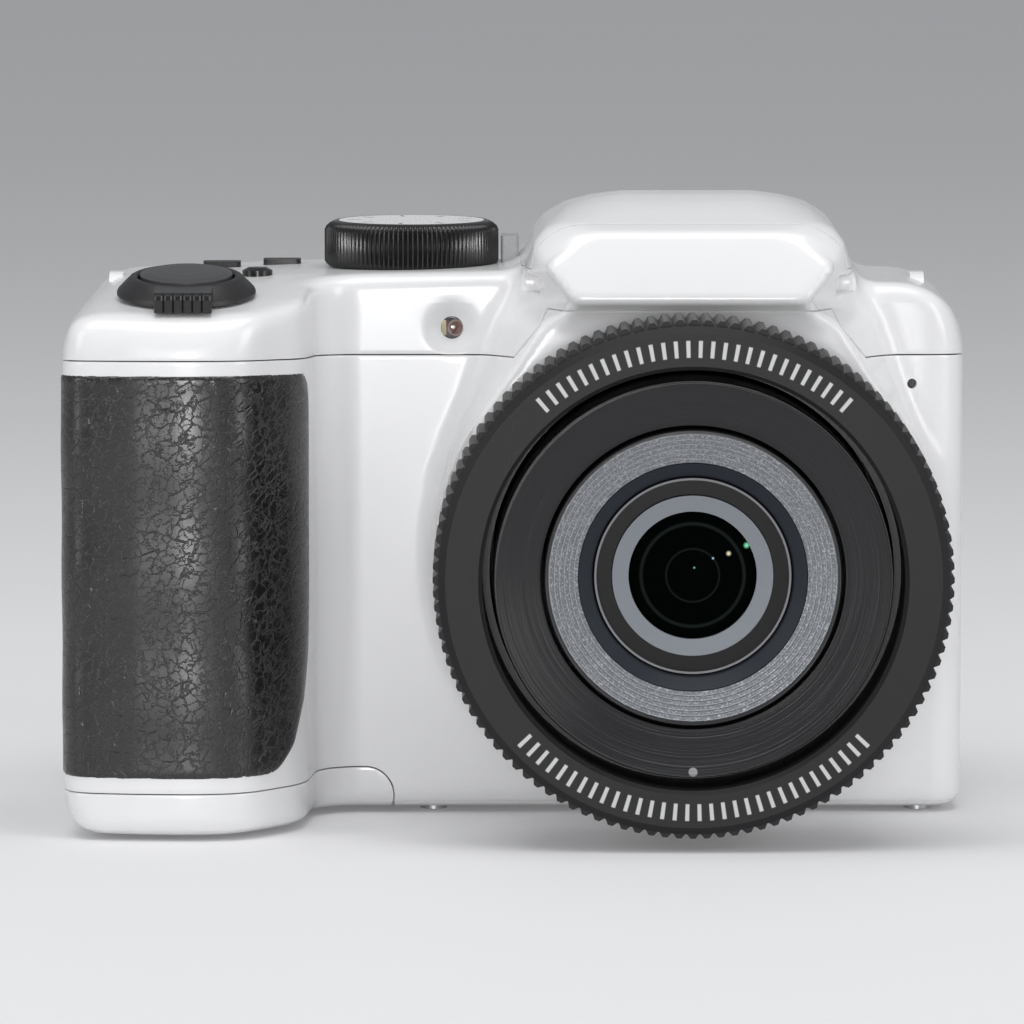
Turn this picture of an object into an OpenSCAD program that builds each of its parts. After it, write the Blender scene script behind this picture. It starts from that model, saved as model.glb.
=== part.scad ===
// Bridge camera with a pop-up flash, a power zoom lens and two AA cells in the grip.
// Millimetres. X runs to the right seen from the front, Y to the back, Z up.
// The origin is the mouth of the tripod socket, on the base plane under the lens axis.

/* [Body] */
// Room between the ribbed ring and the plain end of the body
right_room = 4; // [3:0.1:6]
// Distance from the tripod socket back to the rear wall
rear_reach = 19; // [18.8:0.1:22]
// Least height of the top plate over the ribbed ring
top_room = 4.3; // [4:0.1:6]
// Thickness of the moulded walls
wall = 2; // [1.8:0.1:2.2]
// Drop from the top plate to the seam between the covers at the front wall
seam_drop = 11.6; // [11:0.1:12.4]
// Width of the seams between covers
seam_gap = 0.2; // [0.1:0.05:0.3]
// Thickness of the base plate
base_t = 1.4; // [1.2:0.1:1.6]

/* [Grip] */
// How far the grip stands in front of the front wall
grip_out = 27; // [26.5:0.5:30]
// How far the grip bulges past the end of the body
grip_bulge = 1.3; // [0.8:0.1:2.4]
// Width of the grip
grip_w = 32.8; // [32:0.1:37]
// Room for the fingers between the grip and the ribbed ring
finger_gap = 15.8; // [14:0.1:20]
// Thickness of the rubber skin
skin_t = 1; // [0.8:0.1:1.2]
// Lower edge of the rubber skin
skin_z = 8; // [7:0.5:9]

/* [Lens] */
// Outer radius of the ribbed ring over the tooth tips
ring_r = 33.2; // [32.8:0.1:33.6]
// Length of the ribbed ring
ring_len = 14; // [12:0.5:16]
// Distance from the front wall to the face of the ribbed ring
lens_out = 36; // [35:0.5:38]
// Height of the ribbed ring above the table
ring_lift = 1.7; // [0.4:0.1:3]
// Number of ribs round the ring
ring_ribs = 116; // [90:2:130]
// Radius of the outer lens barrel as a share of the ring's
outer_share = 0.768; // [0.755:0.001:0.775]
// Radius of the inner lens barrel as a share of the ring's
inner_share = 0.5723; // [0.56:0.001:0.58]
// Gap round a sliding barrel
barrel_gap = 0.5; // [0.35:0.05:0.6]
// Radius of the glass that shows in the front as a share of the ring's
glass_share = 0.247; // [0.23:0.001:0.26]
// Teeth of the zoom gear
gear_teeth = 12; // [10:1:14]
// Teeth round the cam ring
cam_teeth = 60; // [56:1:62]

/* [Flash] */
// Rise of the flash head over the top plate
hump_rise = 10.1; // [9.8:0.1:12]
// Half width of the hump as a share of the ring's radius
hump_share = 0.6476; // [0.63:0.001:0.67]
// Distance of the flash hinge behind the tripod socket
flash_y = 8; // [7:0.5:8.5]
// Radius of the flash hinge pin
pin_r = 1; // [0.8:0.1:1.2]

/* [Controls] */
// Radius of the mode dial
dial_r = 11.6; // [11:0.1:12]
// Height of the mode dial
dial_h = 5.9; // [5:0.1:7]
// Number of ribs round the dial
dial_ribs = 60; // [40:2:70]
// Radius of the zoom lever
lever_r = 9; // [8.6:0.1:9.4]
// Radius of the shutter button
shutter_r = 6; // [5.6:0.1:6.2]
// Slope of the top of the grip
top_tilt = 8; // [7:0.5:9]
// Clearance round a button
button_gap = 0.3; // [0.25:0.05:0.4]

/* [Battery] */
// Radius of a battery cell
cell_r = 7.25; // [7.1:0.05:7.3]
// Length of a battery cell
cell_len = 50.5; // [49.5:0.1:50.5]
// Height of the battery door
door_h = 6.2; // [6:0.1:6.6]
// Distance from the lens axis to the end of the door
door_reach = 38.7; // [38:0.1:40]

/* [Display] */
// Height of the display window as a share of its width
screen_share = 0.757; // [0.7:0.001:0.77]

/* [Mounts] */
// Bore radius of the tripod socket
socket_r = 3.2; // [3.1:0.05:3.3]
// Depth of the tripod socket
socket_len = 6; // [5:0.5:6.5]
// Bore radius of a strap lug
strap_r = 1.5; // [1.3:0.1:1.7]
// Thickness of a strap lug
strap_t = 1.8; // [1.6:0.1:2]

/* [Hidden] */
bush_r = socket_r + 1.58;
front_y = -bush_r - 10.22;
rear_y = rear_reach;
right_reach = ring_r + right_room;
grip_y = front_y - grip_out;
grip_right = -ring_r - finger_gap;
grip_left = grip_right - grip_w;
left_reach = -grip_left - grip_bulge;
split_y = rear_y - 17;
seam_fall = 0.05;
lens_z = ring_r + ring_lift;
cell_z = base_t + 5;
cell_top = cell_z + cell_len;
// The top plate clears the ring and the cells, whichever stands higher
top_z = max(lens_z + ring_r + top_room, cell_top + 14.4);
seam_z = top_z - seam_drop;
nose_z = top_z - 4.9;
hump_z = top_z + hump_rise;
hump_w = ring_r * hump_share;
flash_half = hump_w - 6.5;
flash_z = top_z + 4.3;
outer_r = ring_r * outer_share;
inner_r = ring_r * inner_share;
glass_r = ring_r * glass_share;
mid_r = inner_r - 4.4;
screen_w = 2 * ring_r - 0.4;
screen_h = screen_w * screen_share;
ring_front = front_y - lens_out;
ring_back = ring_front + ring_len;
fairing_y = front_y - 13;
tube_r = ring_r - 2;
hole_r = tube_r + 0.2;
top_gap = 0.3;
flash_reach = flash_y - front_y + 8.2;
eps = 0.01;
white = [0.93, 0.93, 0.93];
black = [0.07, 0.07, 0.075];
dark = [0.16, 0.16, 0.17];
grey = [0.55, 0.56, 0.58];
steel = [0.72, 0.72, 0.74];
green = [0.06, 0.28, 0.16];
glass = [0.1, 0.12, 0.16];
clear = [0.85, 0.88, 0.9];

// Points of one rounded corner b between its neighbours a and c
function unit(v) = v / norm(v);
function corner(a, b, c, r, n) =
    r <= 0 ? [b] :
    let (u = unit(a - b), v = unit(c - b))
    let (half = acos(u * v) / 2)
    let (reach = r / tan(half))
    let (p = b + u * reach, q = b + v * reach)
    let (m = b + unit(u + v) * r / sin(half))
    let (a0 = atan2(p[1] - m[1], p[0] - m[0]))
    let (a1 = atan2(q[1] - m[1], q[0] - m[0]))
    let (turn = a1 - a0 > 180 ? a1 - a0 - 360 : a1 - a0 < -180 ? a1 - a0 + 360 : a1 - a0)
    [for (k = [0 : n]) m + r * [cos(a0 + turn * k / n), sin(a0 + turn * k / n)]];
function flat(p) = [p[0], p[1]];
// Outline from corners given as [x, y, radius]
function rounded(c, n = 6) =
    let (s = len(c))
    [for (i = [0 : s - 1]) each corner(flat(c[(i + s - 1) % s]), flat(c[i]), flat(c[(i + 1) % s]),
        c[i][2], n)];
function box2(x0, y0, x1, y1, r = 0) =
    rounded([[x0, y0, r], [x1, y0, r], [x1, y1, r], [x0, y1, r]]);

// Outline in the plane of X and Y, drawn up from z0 to z1
module up(p, z0, z1) {
    translate([0, 0, z0]) linear_extrude(z1 - z0) polygon(p);
}
// Outline in the plane of X and Z, drawn back from y0 to y1
module back(p, y0, y1) {
    translate([0, y1, 0]) rotate([90, 0, 0]) linear_extrude(y1 - y0) polygon(p);
}
// Outline in the plane of Y and Z, drawn to the right from x0 to x1
module across(p, x0, x1) {
    translate([x0, 0, 0]) rotate([90, 0, 90]) linear_extrude(x1 - x0) polygon(p);
}
module block(x0, x1, y0, y1, z0, z1) {
    translate([x0, y0, z0]) cube([x1 - x0, y1 - y0, z1 - z0]);
}
// Round bar along Y from y0 to y1
module bar_y(x, z, r, y0, y1) {
    translate([x, y0, z]) rotate([-90, 0, 0]) cylinder(h = y1 - y0, r = r, $fn = 64);
}
// Round bar along X from x0 to x1
module bar_x(y, z, r, x0, x1) {
    translate([x0, y, z]) rotate([0, 90, 0]) cylinder(h = x1 - x0, r = r, $fn = 64);
}
module bar_z(x, y, r, z0, z1) {
    translate([x, y, z0]) cylinder(h = z1 - z0, r = r, $fn = 64);
}
// Solid of revolution about the lens axis from points [radius, y]
module turned(p) {
    translate([0, 0, lens_z]) rotate([-90, 0, 0]) rotate_extrude($fn = 96) polygon(p);
}
module lens_bore(r, y0, y1) {
    bar_y(0, lens_z, r, y0, y1);
}

// Outer forms of the body, each drawn inset by i
function left_top() = top_z - 2.7;
function body_plan(i) = rounded([
    [-left_reach + i, front_y + i, 1], [right_reach - i, front_y + i, 6 - i],
    [right_reach - i, rear_y - i, 6 - i], [-left_reach + i, rear_y - i, 6 - i]]);
function face_top(i) = [
    [right_reach - i, top_z - 2.3 - i, 10 - i], [hump_w + 0.5, top_z - 2.1 - i, 0],
    [-hump_w - 0.5, top_z - i, 0], [grip_right + 1, top_z - 0.9 - i, 0],
    [grip_left + 17.8, top_z - 1.7 - i, 0]];
function body_face(i) = rounded(concat(
    i > 0 ? [[-left_reach + i, -1, 0], [right_reach - i, -1, 0]]
          : [[-left_reach, 0, 6.5], [right_reach, 0, 3]],
    face_top(i), [[-left_reach + i, left_top() - i, 8 - i]]));
function body_side(i) = rounded([
    [front_y + i, i > 0 ? -1 : 0, i > 0 ? 0 : 1.5], [rear_y - i, i > 0 ? -1 : 0, i > 0 ? 0 : 2],
    [rear_y - i, top_z - 0.2 - i, 3 - i / 2], [front_y + i, top_z - 0.2 - i, 2 - i / 2]]);
module body_form(i = 0) {
    intersection() {
        up(body_plan(i), -2, 90);
        back(body_face(i), -60, 60);
        across(body_side(i), -100, 60);
    }
}
function grip_plan(i) = rounded([
    [-left_reach + i, split_y, 0], [grip_left + i, front_y - 15, 25],
    [grip_left + i, grip_y + i, 9.5 - i],
    [grip_right - i, grip_y + i, 12 - i], [grip_right - i - 0.6, front_y + i, 6],
    [grip_right + 10 - i, front_y + i, 0], [grip_right + 10 - i, split_y, 0]], 7);
function grip_face(i) = rounded(concat(
    i > 0 ? [[grip_left + i, -1, 0], [grip_right + 13, -1, 0]] : [[grip_left, 0, 6.5],
        [grip_right + 13, 0, 0]],
    [[grip_right + 13, top_z - 0.4 - i, 0], [grip_right + 1, top_z - 0.9 - i, 0]],
    [[grip_left + 17.8, top_z - 1.7 - i, 0]],
    [[grip_left + i, left_top() - i, 9 - i]]));
function grip_slope(y) = top_z - 0.9 + tan(top_tilt) * (y - front_y - 3);
function grip_side(i) = rounded([
    [grip_y + i, i > 0 ? -1 : 0, i > 0 ? 0 : 3], [split_y, i > 0 ? -1 : 0, 0], [split_y, top_z - i, 0],
    [front_y + 6, top_z - 0.4 - i, 0], [grip_y + i, grip_slope(grip_y) - i, 6.5 - i]]);
module grip_form(i = 0) {
    intersection() {
        up(grip_plan(i), -2, 90);
        back(grip_face(i), -60, 60);
        across(grip_side(i), -100, 60);
    }
}
// The collar round the lens: a cone, and a wedge over it that runs up to the hump
module fairing_cone() {
    turned([[0, front_y + 4], [ring_r + 0.3, front_y + 4], [ring_r + 0.3, front_y],
    [ring_r - 0.7, fairing_y],
        [0, fairing_y]]);
}
function wedge_row(y, i) =
    let (k = (y - fairing_y) / (front_y - fairing_y))
    let (x0 = ring_r * (0.834 + 0.114 * k) - i, z0 = lens_z + ring_r * (0.542 - 0.223 * k))
    let (x1 = hump_w - 3.5 + 6.3 * k - i, z1 = nose_z - i)
    [[-x0, y, z0], [-x1, y, z1], [x1, y, z1], [x0, y, z0]];
module wedge_form(i = 0) {
    polyhedron(
        points = concat(wedge_row(fairing_y + i, i), wedge_row(front_y + 4, i)),
        faces = [[0, 1, 2, 3], [7, 6, 5, 4], [0, 4, 5], [0, 5, 1], [1, 5, 6, 2], [2, 6, 7], [2, 7, 3],
            [3, 7, 4, 0]]);
}
// The hump over the lens that holds the flash
function hump_half(i) = [
    [hump_w + 1.3 - i, seam_z + 4], [hump_w + 0.6 - i, top_z - 1], [hump_w - i, top_z + 0.5],
    [hump_w - 0.7 - i, hump_z - 8], [hump_w - 1.3 - i, hump_z - 6.4],
    [hump_w - 2.7 - i, hump_z - 4.6 - i / 3],
    [hump_w - 5.5 - i, hump_z - 2.6 - i / 2], [hump_w - 8.9 - i, hump_z - 1.3 - i * 0.8],
    [hump_w - 12.9 - i, hump_z - 0.4 - i]];
function hump_face(i) =
    let (h = hump_half(i), s = len(h))
    concat(h, [for (k = [s - 1 : -1 : 0]) [-h[k][0], h[k][1]]]);
function hump_side(i) = [
    [front_y + i, seam_z + 4], [front_y - 13 + i, nose_z + i], [front_y - 16 + i, nose_z + 1.3 + i],
    [front_y - 15.6 + i, nose_z + 2.4 + i], [front_y - 11.6 + i, hump_z - 4.8 - i],
        [front_y - 10.8 + i, hump_z - 4.2 - i],
    [front_y + 2, hump_z - 1.5 - i], [front_y + 7, hump_z - 0.4 - i], [front_y + 12, hump_z - i],
    [front_y + 18, hump_z - 0.7 - i], [flash_y, hump_z - 1.8 - i], [rear_y - 6, hump_z - 4.6 - i],
    [rear_y - 2 - i, hump_z - 7.4 - i], [rear_y - i, top_z - 1.5 - i], [rear_y - i, seam_z + 4]];
function hump_plan(i) = [
    [-hump_w + 3.6 + i, front_y - 18], [hump_w - 3.6 - i, front_y - 18],
    [hump_w + 0.6 - i, front_y - 5], [hump_w + 2 - i, front_y + 2],
    [hump_w + 2 - i, rear_y + 1], [-hump_w - 2 + i, rear_y + 1], [-hump_w - 2 + i, front_y + 2],
    [-hump_w - 0.6 + i, front_y - 5]];
module hump_form(i = 0) {
    intersection() {
        back(hump_face(i), -60, 60);
        across(hump_side(i), -60, 60);
        up(hump_plan(i), 40, 100);
    }
}
// Room of the flash head, grown by g: the cap over the hinge line and the round back end
function flash_arc(r, a0, a1, n) = [for (k = [0 : n])
    [flash_y, flash_z] + r * [cos(a0 + (a1 - a0) * k / n), sin(a0 + (a1 - a0) * k / n)]];
function flash_outline(g) =
    let (floor_z = top_z + 0.2 - g, r = flash_reach + g)
    concat([[flash_y, floor_z]], flash_arc(r, 180 + asin((flash_z - floor_z) / r), 150, 8),
        [[flash_y, flash_z + 20]], flash_arc(3.7 + g, 90, -90, 12));
module flash_zone(g = 0) {
    across(flash_outline(g), -40, 40);
}

ear_x = flash_half - 4.6;
// Regions that share the shell out between the covers
function seam_at(y) = seam_z - seam_fall * (y - front_y);
module below_seam(g) {
    across([[-80, -5], [60, -5], [60, seam_at(60) - g], [-80, seam_at(-80) - g]], -100, 60);
}
module above_seam(g) {
    across([[-80, seam_at(-80) + g], [60, seam_at(60) + g], [60, 120], [-80, 120]], -100, 60);
}
function crown(g) = [
    [-hump_w - 2.6 - g, seam_z - 1], [hump_w + 2.6 + g, seam_z - 1], [hump_w - 2 + g, seam_z + 4.8],
    [hump_w - 3 + g, nose_z + 0.1 + g], [-hump_w + 3 - g, nose_z + 0.1 + g],
    [-hump_w + 2 - g, seam_z + 4.8]];
module crown_zone(g) {
    back(crown(g), fairing_y - 2, front_y + 1.8 + g);
}
// The end of the battery door is round about its hinge pin
hinge_z = 2.4;
door_end_r = door_h - hinge_z;
hinge_x = -door_reach - door_end_r;
door_pin_r = 0.8;
module door_zone(g) {
    block(-120, hinge_x, -80, rear_y - 4.6 + g, -5, door_h + g);
    bar_y(hinge_x, hinge_z, door_end_r + g, -80, rear_y - 4.6 + g);
}
module skin_zone(g) {
    intersection() {
        below_seam(1.8 - g);
        block(-120, grip_right + 0.1 + g, -80, split_y - 1.5 + g, skin_z - g, 80);
    }
}
post_z = 4.4;
module screw_post(x, y, z0, z1) {
    bar_z(x, y, 2.6, z0, z1);
}
screw_at = [[right_reach - 6.5, 12], [right_reach - 6.5, front_y + 5], [-door_reach + 5.2, 12],
    [-door_reach + 5.2, front_y + 5]];

module front_cover() {
    color(white) difference() {
        intersection() {
            difference() {
                union() {
                    body_form();
                    grip_form();
                    fairing_cone();
                    wedge_form();
                }
                body_form(wall);
                grip_form(wall + 0.4);
                wedge_form(wall);
            }
            union() {
                intersection() {
                    below_seam(seam_gap / 2);
                    block(-120, 60, -80, split_y - seam_gap / 2, base_t + 0.1, 80);
                }
                crown_zone(0);
            }
        }
        door_zone(0.15);
        lens_bore(hole_r, -80, front_y + 6);
        bar_y(right_reach - 7.75, lens_z + 22.1, 0.65, -40, front_y + 4);
        intersection() {
            difference() {
                grip_form(-0.5);
                grip_form(skin_t + 0.02);
            }
            skin_zone(0.02);
        }
    }
}

module grip_skin() {
    color(black) intersection() {
        difference() {
            grip_form();
            grip_form(skin_t);
        }
        skin_zone(0);
    }
}

lamp_x = -ring_r + 2.2;
lamp_z = seam_z + 3.5;
// The flash key stands beside the hump, and the dial clears the key
flash_key_half = 1.2;
flash_key_x = -hump_w - 1.9;
dial_x = flash_key_x - flash_key_half - button_gap - dial_r;
dial_y = 2;
dial_z = top_z - 0.8;
lever_x = grip_left + 16.5;
lever_y = grip_y + 15;
lever_z = grip_slope(lever_y) + 0.1;
power_at = [lever_x + 8.6, front_y + 6];
drive_at = [grip_left + 19.8, front_y + 23];
expo_at = [grip_left + 27.8, front_y + 25];
key_z = top_z - 1.7;
lug_left_x = -left_reach + 4.6;
lug_right_x = right_reach - 6.3;
lug_y = 3.5;
lug_z = top_z - 4.6;

// Frame of the tilted top of the grip
module on_grip() {
    translate([lever_x, lever_y, lever_z]) rotate([top_tilt, 0, 0]) children();
}
module lug_well(x) {
    intersection() {
        body_form();
        block(x - 6, x + 6, lug_y - 6, lug_y + 6, lug_z - 4.6, 90);
    }
}
module lug_pocket(x, side) {
    block(side < 0 ? x - 20 : x - 3.4, side < 0 ? x + 3.4 : x + 20, lug_y - 4.5, lug_y + 4.5,
        lug_z - 2.6, 90);
}
module top_cover() {
    color(white) difference() {
        union() {
            intersection() {
                difference() {
                    union() {
                        body_form();
                        grip_form();
                        wedge_form();
                        hump_form();
                    }
                    body_form(wall);
                    grip_form(wall + 0.4);
                    difference() {
                        hump_form(wall);
                        block(-flash_half - 2, flash_half + 2, fairing_y - 2, 6, top_z - 3.8, top_z);
                    }
                }
                above_seam(seam_gap / 2);
            }
            lug_well(lug_left_x);
            lug_well(lug_right_x);
            for (s = [-1, 1]) {
                block(s * ear_x - 1.3, s * ear_x + 1.3, flash_y - 2.4, flash_y + 2.4, top_z - 2.5,
                    flash_z);
                bar_x(flash_y, flash_z, 2.4, s * ear_x - 1.3, s * ear_x + 1.3);
            }
        }
        lug_pocket(lug_left_x, -1);
        lug_pocket(lug_right_x, 1);
        crown_zone(seam_gap);
        lens_bore(hole_r + 0.1, -80, front_y + 6);
        difference() {
            flash_zone(top_gap);
            for (s = [-1, 1]) {
                block(s * ear_x - 1.3, s * ear_x + 1.3, flash_y - 2.4, flash_y + 2.4, top_z - 2.5,
                    flash_z);
                bar_x(flash_y, flash_z, 2.4, s * ear_x - 1.3, s * ear_x + 1.3);
            }
        }
        block(-flash_half - 0.4, flash_half + 0.4, fairing_y + 5.4, 4, top_z - 1.9, top_z + 2);
        bar_x(flash_y, flash_z, pin_r + 0.02, -flash_half - 1, flash_half + 1);
        for (x = [lug_left_x, lug_right_x]) {
            block(x - strap_t / 2 - 0.05, x + strap_t / 2 + 0.05, lug_y - 3.6, lug_y + 3.6, lug_z - 6,
                lug_z);
        }
        // Dish of the focus lamp and the hole for its window
        translate([lamp_x, front_y - eps, lamp_z]) rotate([-90, 0, 0]) cylinder(h = 1.2, r1 = 3.3,
            r2 = 2.3, $fn = 64);
        bar_y(lamp_x, lamp_z, 2.05, front_y - 1, front_y + 4);
        bar_z(dial_x, dial_y, dial_r + top_gap, dial_z - 0.5, 100);
        bar_z(dial_x, dial_y, 3.8, seam_z, 120);
        on_grip() translate([0, 0, -8]) cylinder(h = 8, r = 4.7, $fn = 64);
        on_grip() translate([0, 0, 0]) cylinder(h = 12, r = lever_r + 2.8, $fn = 64);
        bar_z(power_at[0], power_at[1], 2 + button_gap, seam_z, 120);
        block(drive_at[0] - 2.5 - button_gap, drive_at[0] + 2.5 + button_gap,
            drive_at[1] - 1.5 - button_gap, drive_at[1] + 1.5 + button_gap, seam_z, 120);
        block(expo_at[0] - 2.5 - button_gap, expo_at[0] + 2.5 + button_gap,
            expo_at[1] - 1.5 - button_gap, expo_at[1] + 1.5 + button_gap, seam_z, 120);
        block(flash_key_x - flash_key_half - button_gap, flash_key_x + flash_key_half + button_gap,
            1 - button_gap, 7 + button_gap, top_z - 5.3, 120);
    }
}

key_at = [-left_reach + 23.5, 27];
record_at = [-left_reach + 33.5, seam_z - 5.8];
menu_at = [-left_reach + 33.5, 41];
play_at = [-left_reach + 14.5, 41];
show_at = [-left_reach + 33.5, 13];
screen_x = -3;
screen_z = screen_h / 2 + 8;
port_y = rear_y - 11.9;
port_z = lens_z + 6.2;
module rear_key_hole(p, r) {
    bar_y(p[0], p[1], r + button_gap, rear_y - 6, rear_y + 5);
}
module rear_cover() {
    color(white) bar_y(hinge_x, hinge_z, door_pin_r, rear_y - 8.5, rear_y - 4);
    color(white) difference() {
        union() {
            intersection() {
                difference() {
                    body_form();
                    body_form(wall);
                }
                below_seam(seam_gap / 2);
                block(-120, 60, split_y + seam_gap / 2, 60, base_t + 0.1, 80);
            }
            intersection() {
                body_form();
                block(-120, -door_reach + 0.3, rear_y - 4.3, 60, -1, door_h + 1.2);
            }
        }
        door_zone(0.15);
        back(box2(screen_x - screen_w / 2 - 0.1, screen_z - screen_h / 2 - 0.1,
            screen_x + screen_w / 2 + 0.1,
            screen_z + screen_h / 2 + 0.1, 2.1), rear_y - 1, rear_y + 2);
        back(box2(screen_x - screen_w / 2 + 2.5, screen_z - screen_h / 2 + 2.5,
            screen_x + screen_w / 2 - 2.5,
            screen_z + screen_h / 2 - 2.5, 1), rear_y - 6, rear_y + 2);
        bar_y(key_at[0], key_at[1], 9 + button_gap, rear_y - 1.2, rear_y + 5);
        bar_y(key_at[0], key_at[1], 6, rear_y - 6, rear_y + 5);
        rear_key_hole(record_at, 3);
        rear_key_hole(menu_at, 2.6);
        rear_key_hole(play_at, 2.6);
        rear_key_hole(show_at, 2.6);
        block(right_reach - 1.3, right_reach + 5, port_y - 4.7, port_y + 5.6, port_z - 10.2,
            port_z + 10.2);
        block(right_reach - 5, right_reach + 5, port_y - 2.2, port_y + 2.2, port_z - 4.2, port_z + 4.2);
    }
}

module base_plate() {
    color(white) difference() {
        union() {
            intersection() {
                body_form();
                block(-door_reach + 0.1, 60, -60, 60, -1, base_t);
            }
            bar_z(0, 0, bush_r + 1.8, 0, base_t + 0.8);
            for (p = screw_at) {
                screw_post(p[0], p[1], base_t - eps, post_z);
            }
        }
        bar_z(0, 0, bush_r + 0.02, -1, 10);
        for (p = screw_at) {
            bar_z(p[0], p[1], 1.9, -1, 1.2);
            bar_z(p[0], p[1], 1.05, -1, 10);
        }
    }
}

module case_screws() {
    color(steel) for (p = screw_at) {
        difference() {
            union() {
                bar_z(p[0], p[1], 1.8, 0.1, 1.2);
                bar_z(p[0], p[1], 1, 1, post_z);
            }
            block(p[0] - 1.2, p[0] + 1.2, p[1] - 0.25, p[1] + 0.25, -1, 0.6);
            block(p[0] - 0.25, p[0] + 0.25, p[1] - 1.2, p[1] + 1.2, -1, 0.6);
        }
    }
}

module tripod_bush() {
    color(steel) difference() {
        union() {
            bar_z(0, 0, bush_r, 0, socket_len + 0.8);
            bar_z(0, 0, bush_r + 0.3, base_t + 0.8, base_t + 1.8);
        }
        bar_z(0, 0, socket_r, -1, socket_len);
    }
}

// Ribs cut as a ring of flat teeth between two radii
function ribs(n, tip, root, land) = [for (k = [0 : n - 1]) each
    [for (s = [[-0.5, root], [-land, tip], [land, tip], [0.5, root]])
        s[1] * [cos((k + s[0] * 0.98) * 360 / n), sin((k + s[0] * 0.98) * 360 / n)]]];

module lens_ring() {
    color(dark) difference() {
        union() {
            translate([0, ring_back, lens_z]) rotate([90, 0, 0]) linear_extrude(ring_len - 1.6)
                polygon(ribs(ring_ribs, ring_r, ring_r - 0.7, 0.18));
            turned([[0, ring_front], [ring_r - 1.6, ring_front], [ring_r - 0.7, ring_front + 0.7],
                [ring_r - 0.7, ring_back], [0, ring_back]]);
        }
        turned([[0, ring_front - 1], [outer_r + 1.9, ring_front - 1], [outer_r + 1.9, ring_front],
            [outer_r + 1.4, ring_front + 0.6], [outer_r + 1.4, ring_back + 1], [0, ring_back + 1]]);
        lens_bore(tube_r + 0.02, ring_back - 2, ring_back + 5);
    }
}

cam_back = front_y + 6.4;
module lens_tube() {
    color(black) difference() {
        union() {
            lens_bore(tube_r, ring_back - 2, front_y + 2);
            intersection() {
                lens_bore(ring_r - 0.2, front_y + 2, front_y + 3.5);
                block(-40, 40, -60, 60, base_t + 0.9, 80);
            }
        }
        lens_bore(outer_r + barrel_gap, -80, 20);
        lens_bore(outer_r + 2.9, fairing_y + 2.6, 20);
    }
}

// Gear outline with straight flanks and generous backlash
function gear(n, m) = [for (k = [0 : n - 1]) each
    [for (s = [[-0.5, -1.2], [-0.26, -1.2], [-0.11, 0.75], [0.11, 0.75], [0.26, -1.2]])
        (n * m / 2 + s[1] * m) * [cos((k + s[0]) * 360 / n), sin((k + s[0]) * 360 / n)]]];
gear_m = (ring_r - 3.2) * 2 / cam_teeth;
gear_far = (gear_teeth + cam_teeth) * gear_m / 2;
gear_dir = 222;
gear_x = gear_far * cos(gear_dir);
gear_z = lens_z + gear_far * sin(gear_dir);
module cam_ring() {
    color(grey) difference() {
        union() {
            lens_bore(outer_r + 2.5, fairing_y + 3, cam_back);
            translate([0, cam_back, lens_z]) rotate([90, 0, 0]) rotate([0, 0,
                gear_dir]) linear_extrude(2.4)
                polygon(gear(cam_teeth, gear_m));
        }
        lens_bore(outer_r + 0.9, -80, 20);
    }
}
module drive_gear() {
    color(steel) difference() {
        union() {
            translate([gear_x, cam_back, gear_z]) rotate([90, 0, 0])
                rotate([0, 0, gear_dir + 180 + 180 / gear_teeth]) linear_extrude(2.4)
                    polygon(gear(gear_teeth, gear_m));
            bar_y(gear_x, gear_z, 2.2, cam_back - 0.1, cam_back + 0.3);
        }
        bar_y(gear_x, gear_z, 0.85, -40, 20);
    }
}
module zoom_motor() {
    color(steel) union() {
        bar_y(gear_x, gear_z, 5, front_y + 9.8, chassis_y - 0.4);
        bar_y(gear_x, gear_z, 2.2, front_y + 7, front_y + 9.9);
        bar_y(gear_x, gear_z, 0.8, front_y + 4, front_y + 7.1);
    }
}
module lens_base() {
    color(black) difference() {
        union() {
            intersection() {
                union() {
                    lens_bore(ring_r - 0.2, front_y + 7, front_y + 9.8);
                    difference() {
                        lens_bore(ring_r - 0.2, front_y + 3.5, front_y + 7);
                        lens_bore(cam_teeth * gear_m / 2 + 1.3, front_y + 3, front_y + 7);
                        bar_y(gear_x, gear_z, gear_teeth * gear_m / 2 + 1.5, front_y + 3, front_y + 7);
                    }
                }
                block(-40, 40, -60, 60, base_t + 0.9, 80);
            }
            bar_y(gear_x, gear_z, 5.6, front_y + 7, front_y + 9.8);
            lens_bore(inner_r, front_y + 9, front_y + 21);
        }
        lens_bore(inner_r - 2, front_y, front_y + 19);
        back(box2(-4.6, lens_z - 3.6, 4.6, lens_z + 3.6), front_y, front_y + 24);
        bar_y(gear_x, gear_z, 2.4, front_y, front_y + 12);
        for (s = [-1, 1]) {
            bar_y(s * (inner_r - 6), lens_z, 1.02, front_y + 18, front_y + 20);
        }
    }
}
module guide_rods() {
    color(steel) for (s = [-1, 1]) {
        bar_y(s * (inner_r - 6), lens_z, 1, front_y + 4, front_y + 20);
    }
}
module image_sensor() {
    color(dark) back(box2(-6.5, lens_z - 5.5, 6.5, lens_z + 5.5), front_y + 21, front_y + 22.2);
}
module sensor_board() {
    color(green) back(box2(-14, lens_z - 12, 14, lens_z + 12, 1), front_y + 22.2, front_y + 23.4);
}

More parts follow.
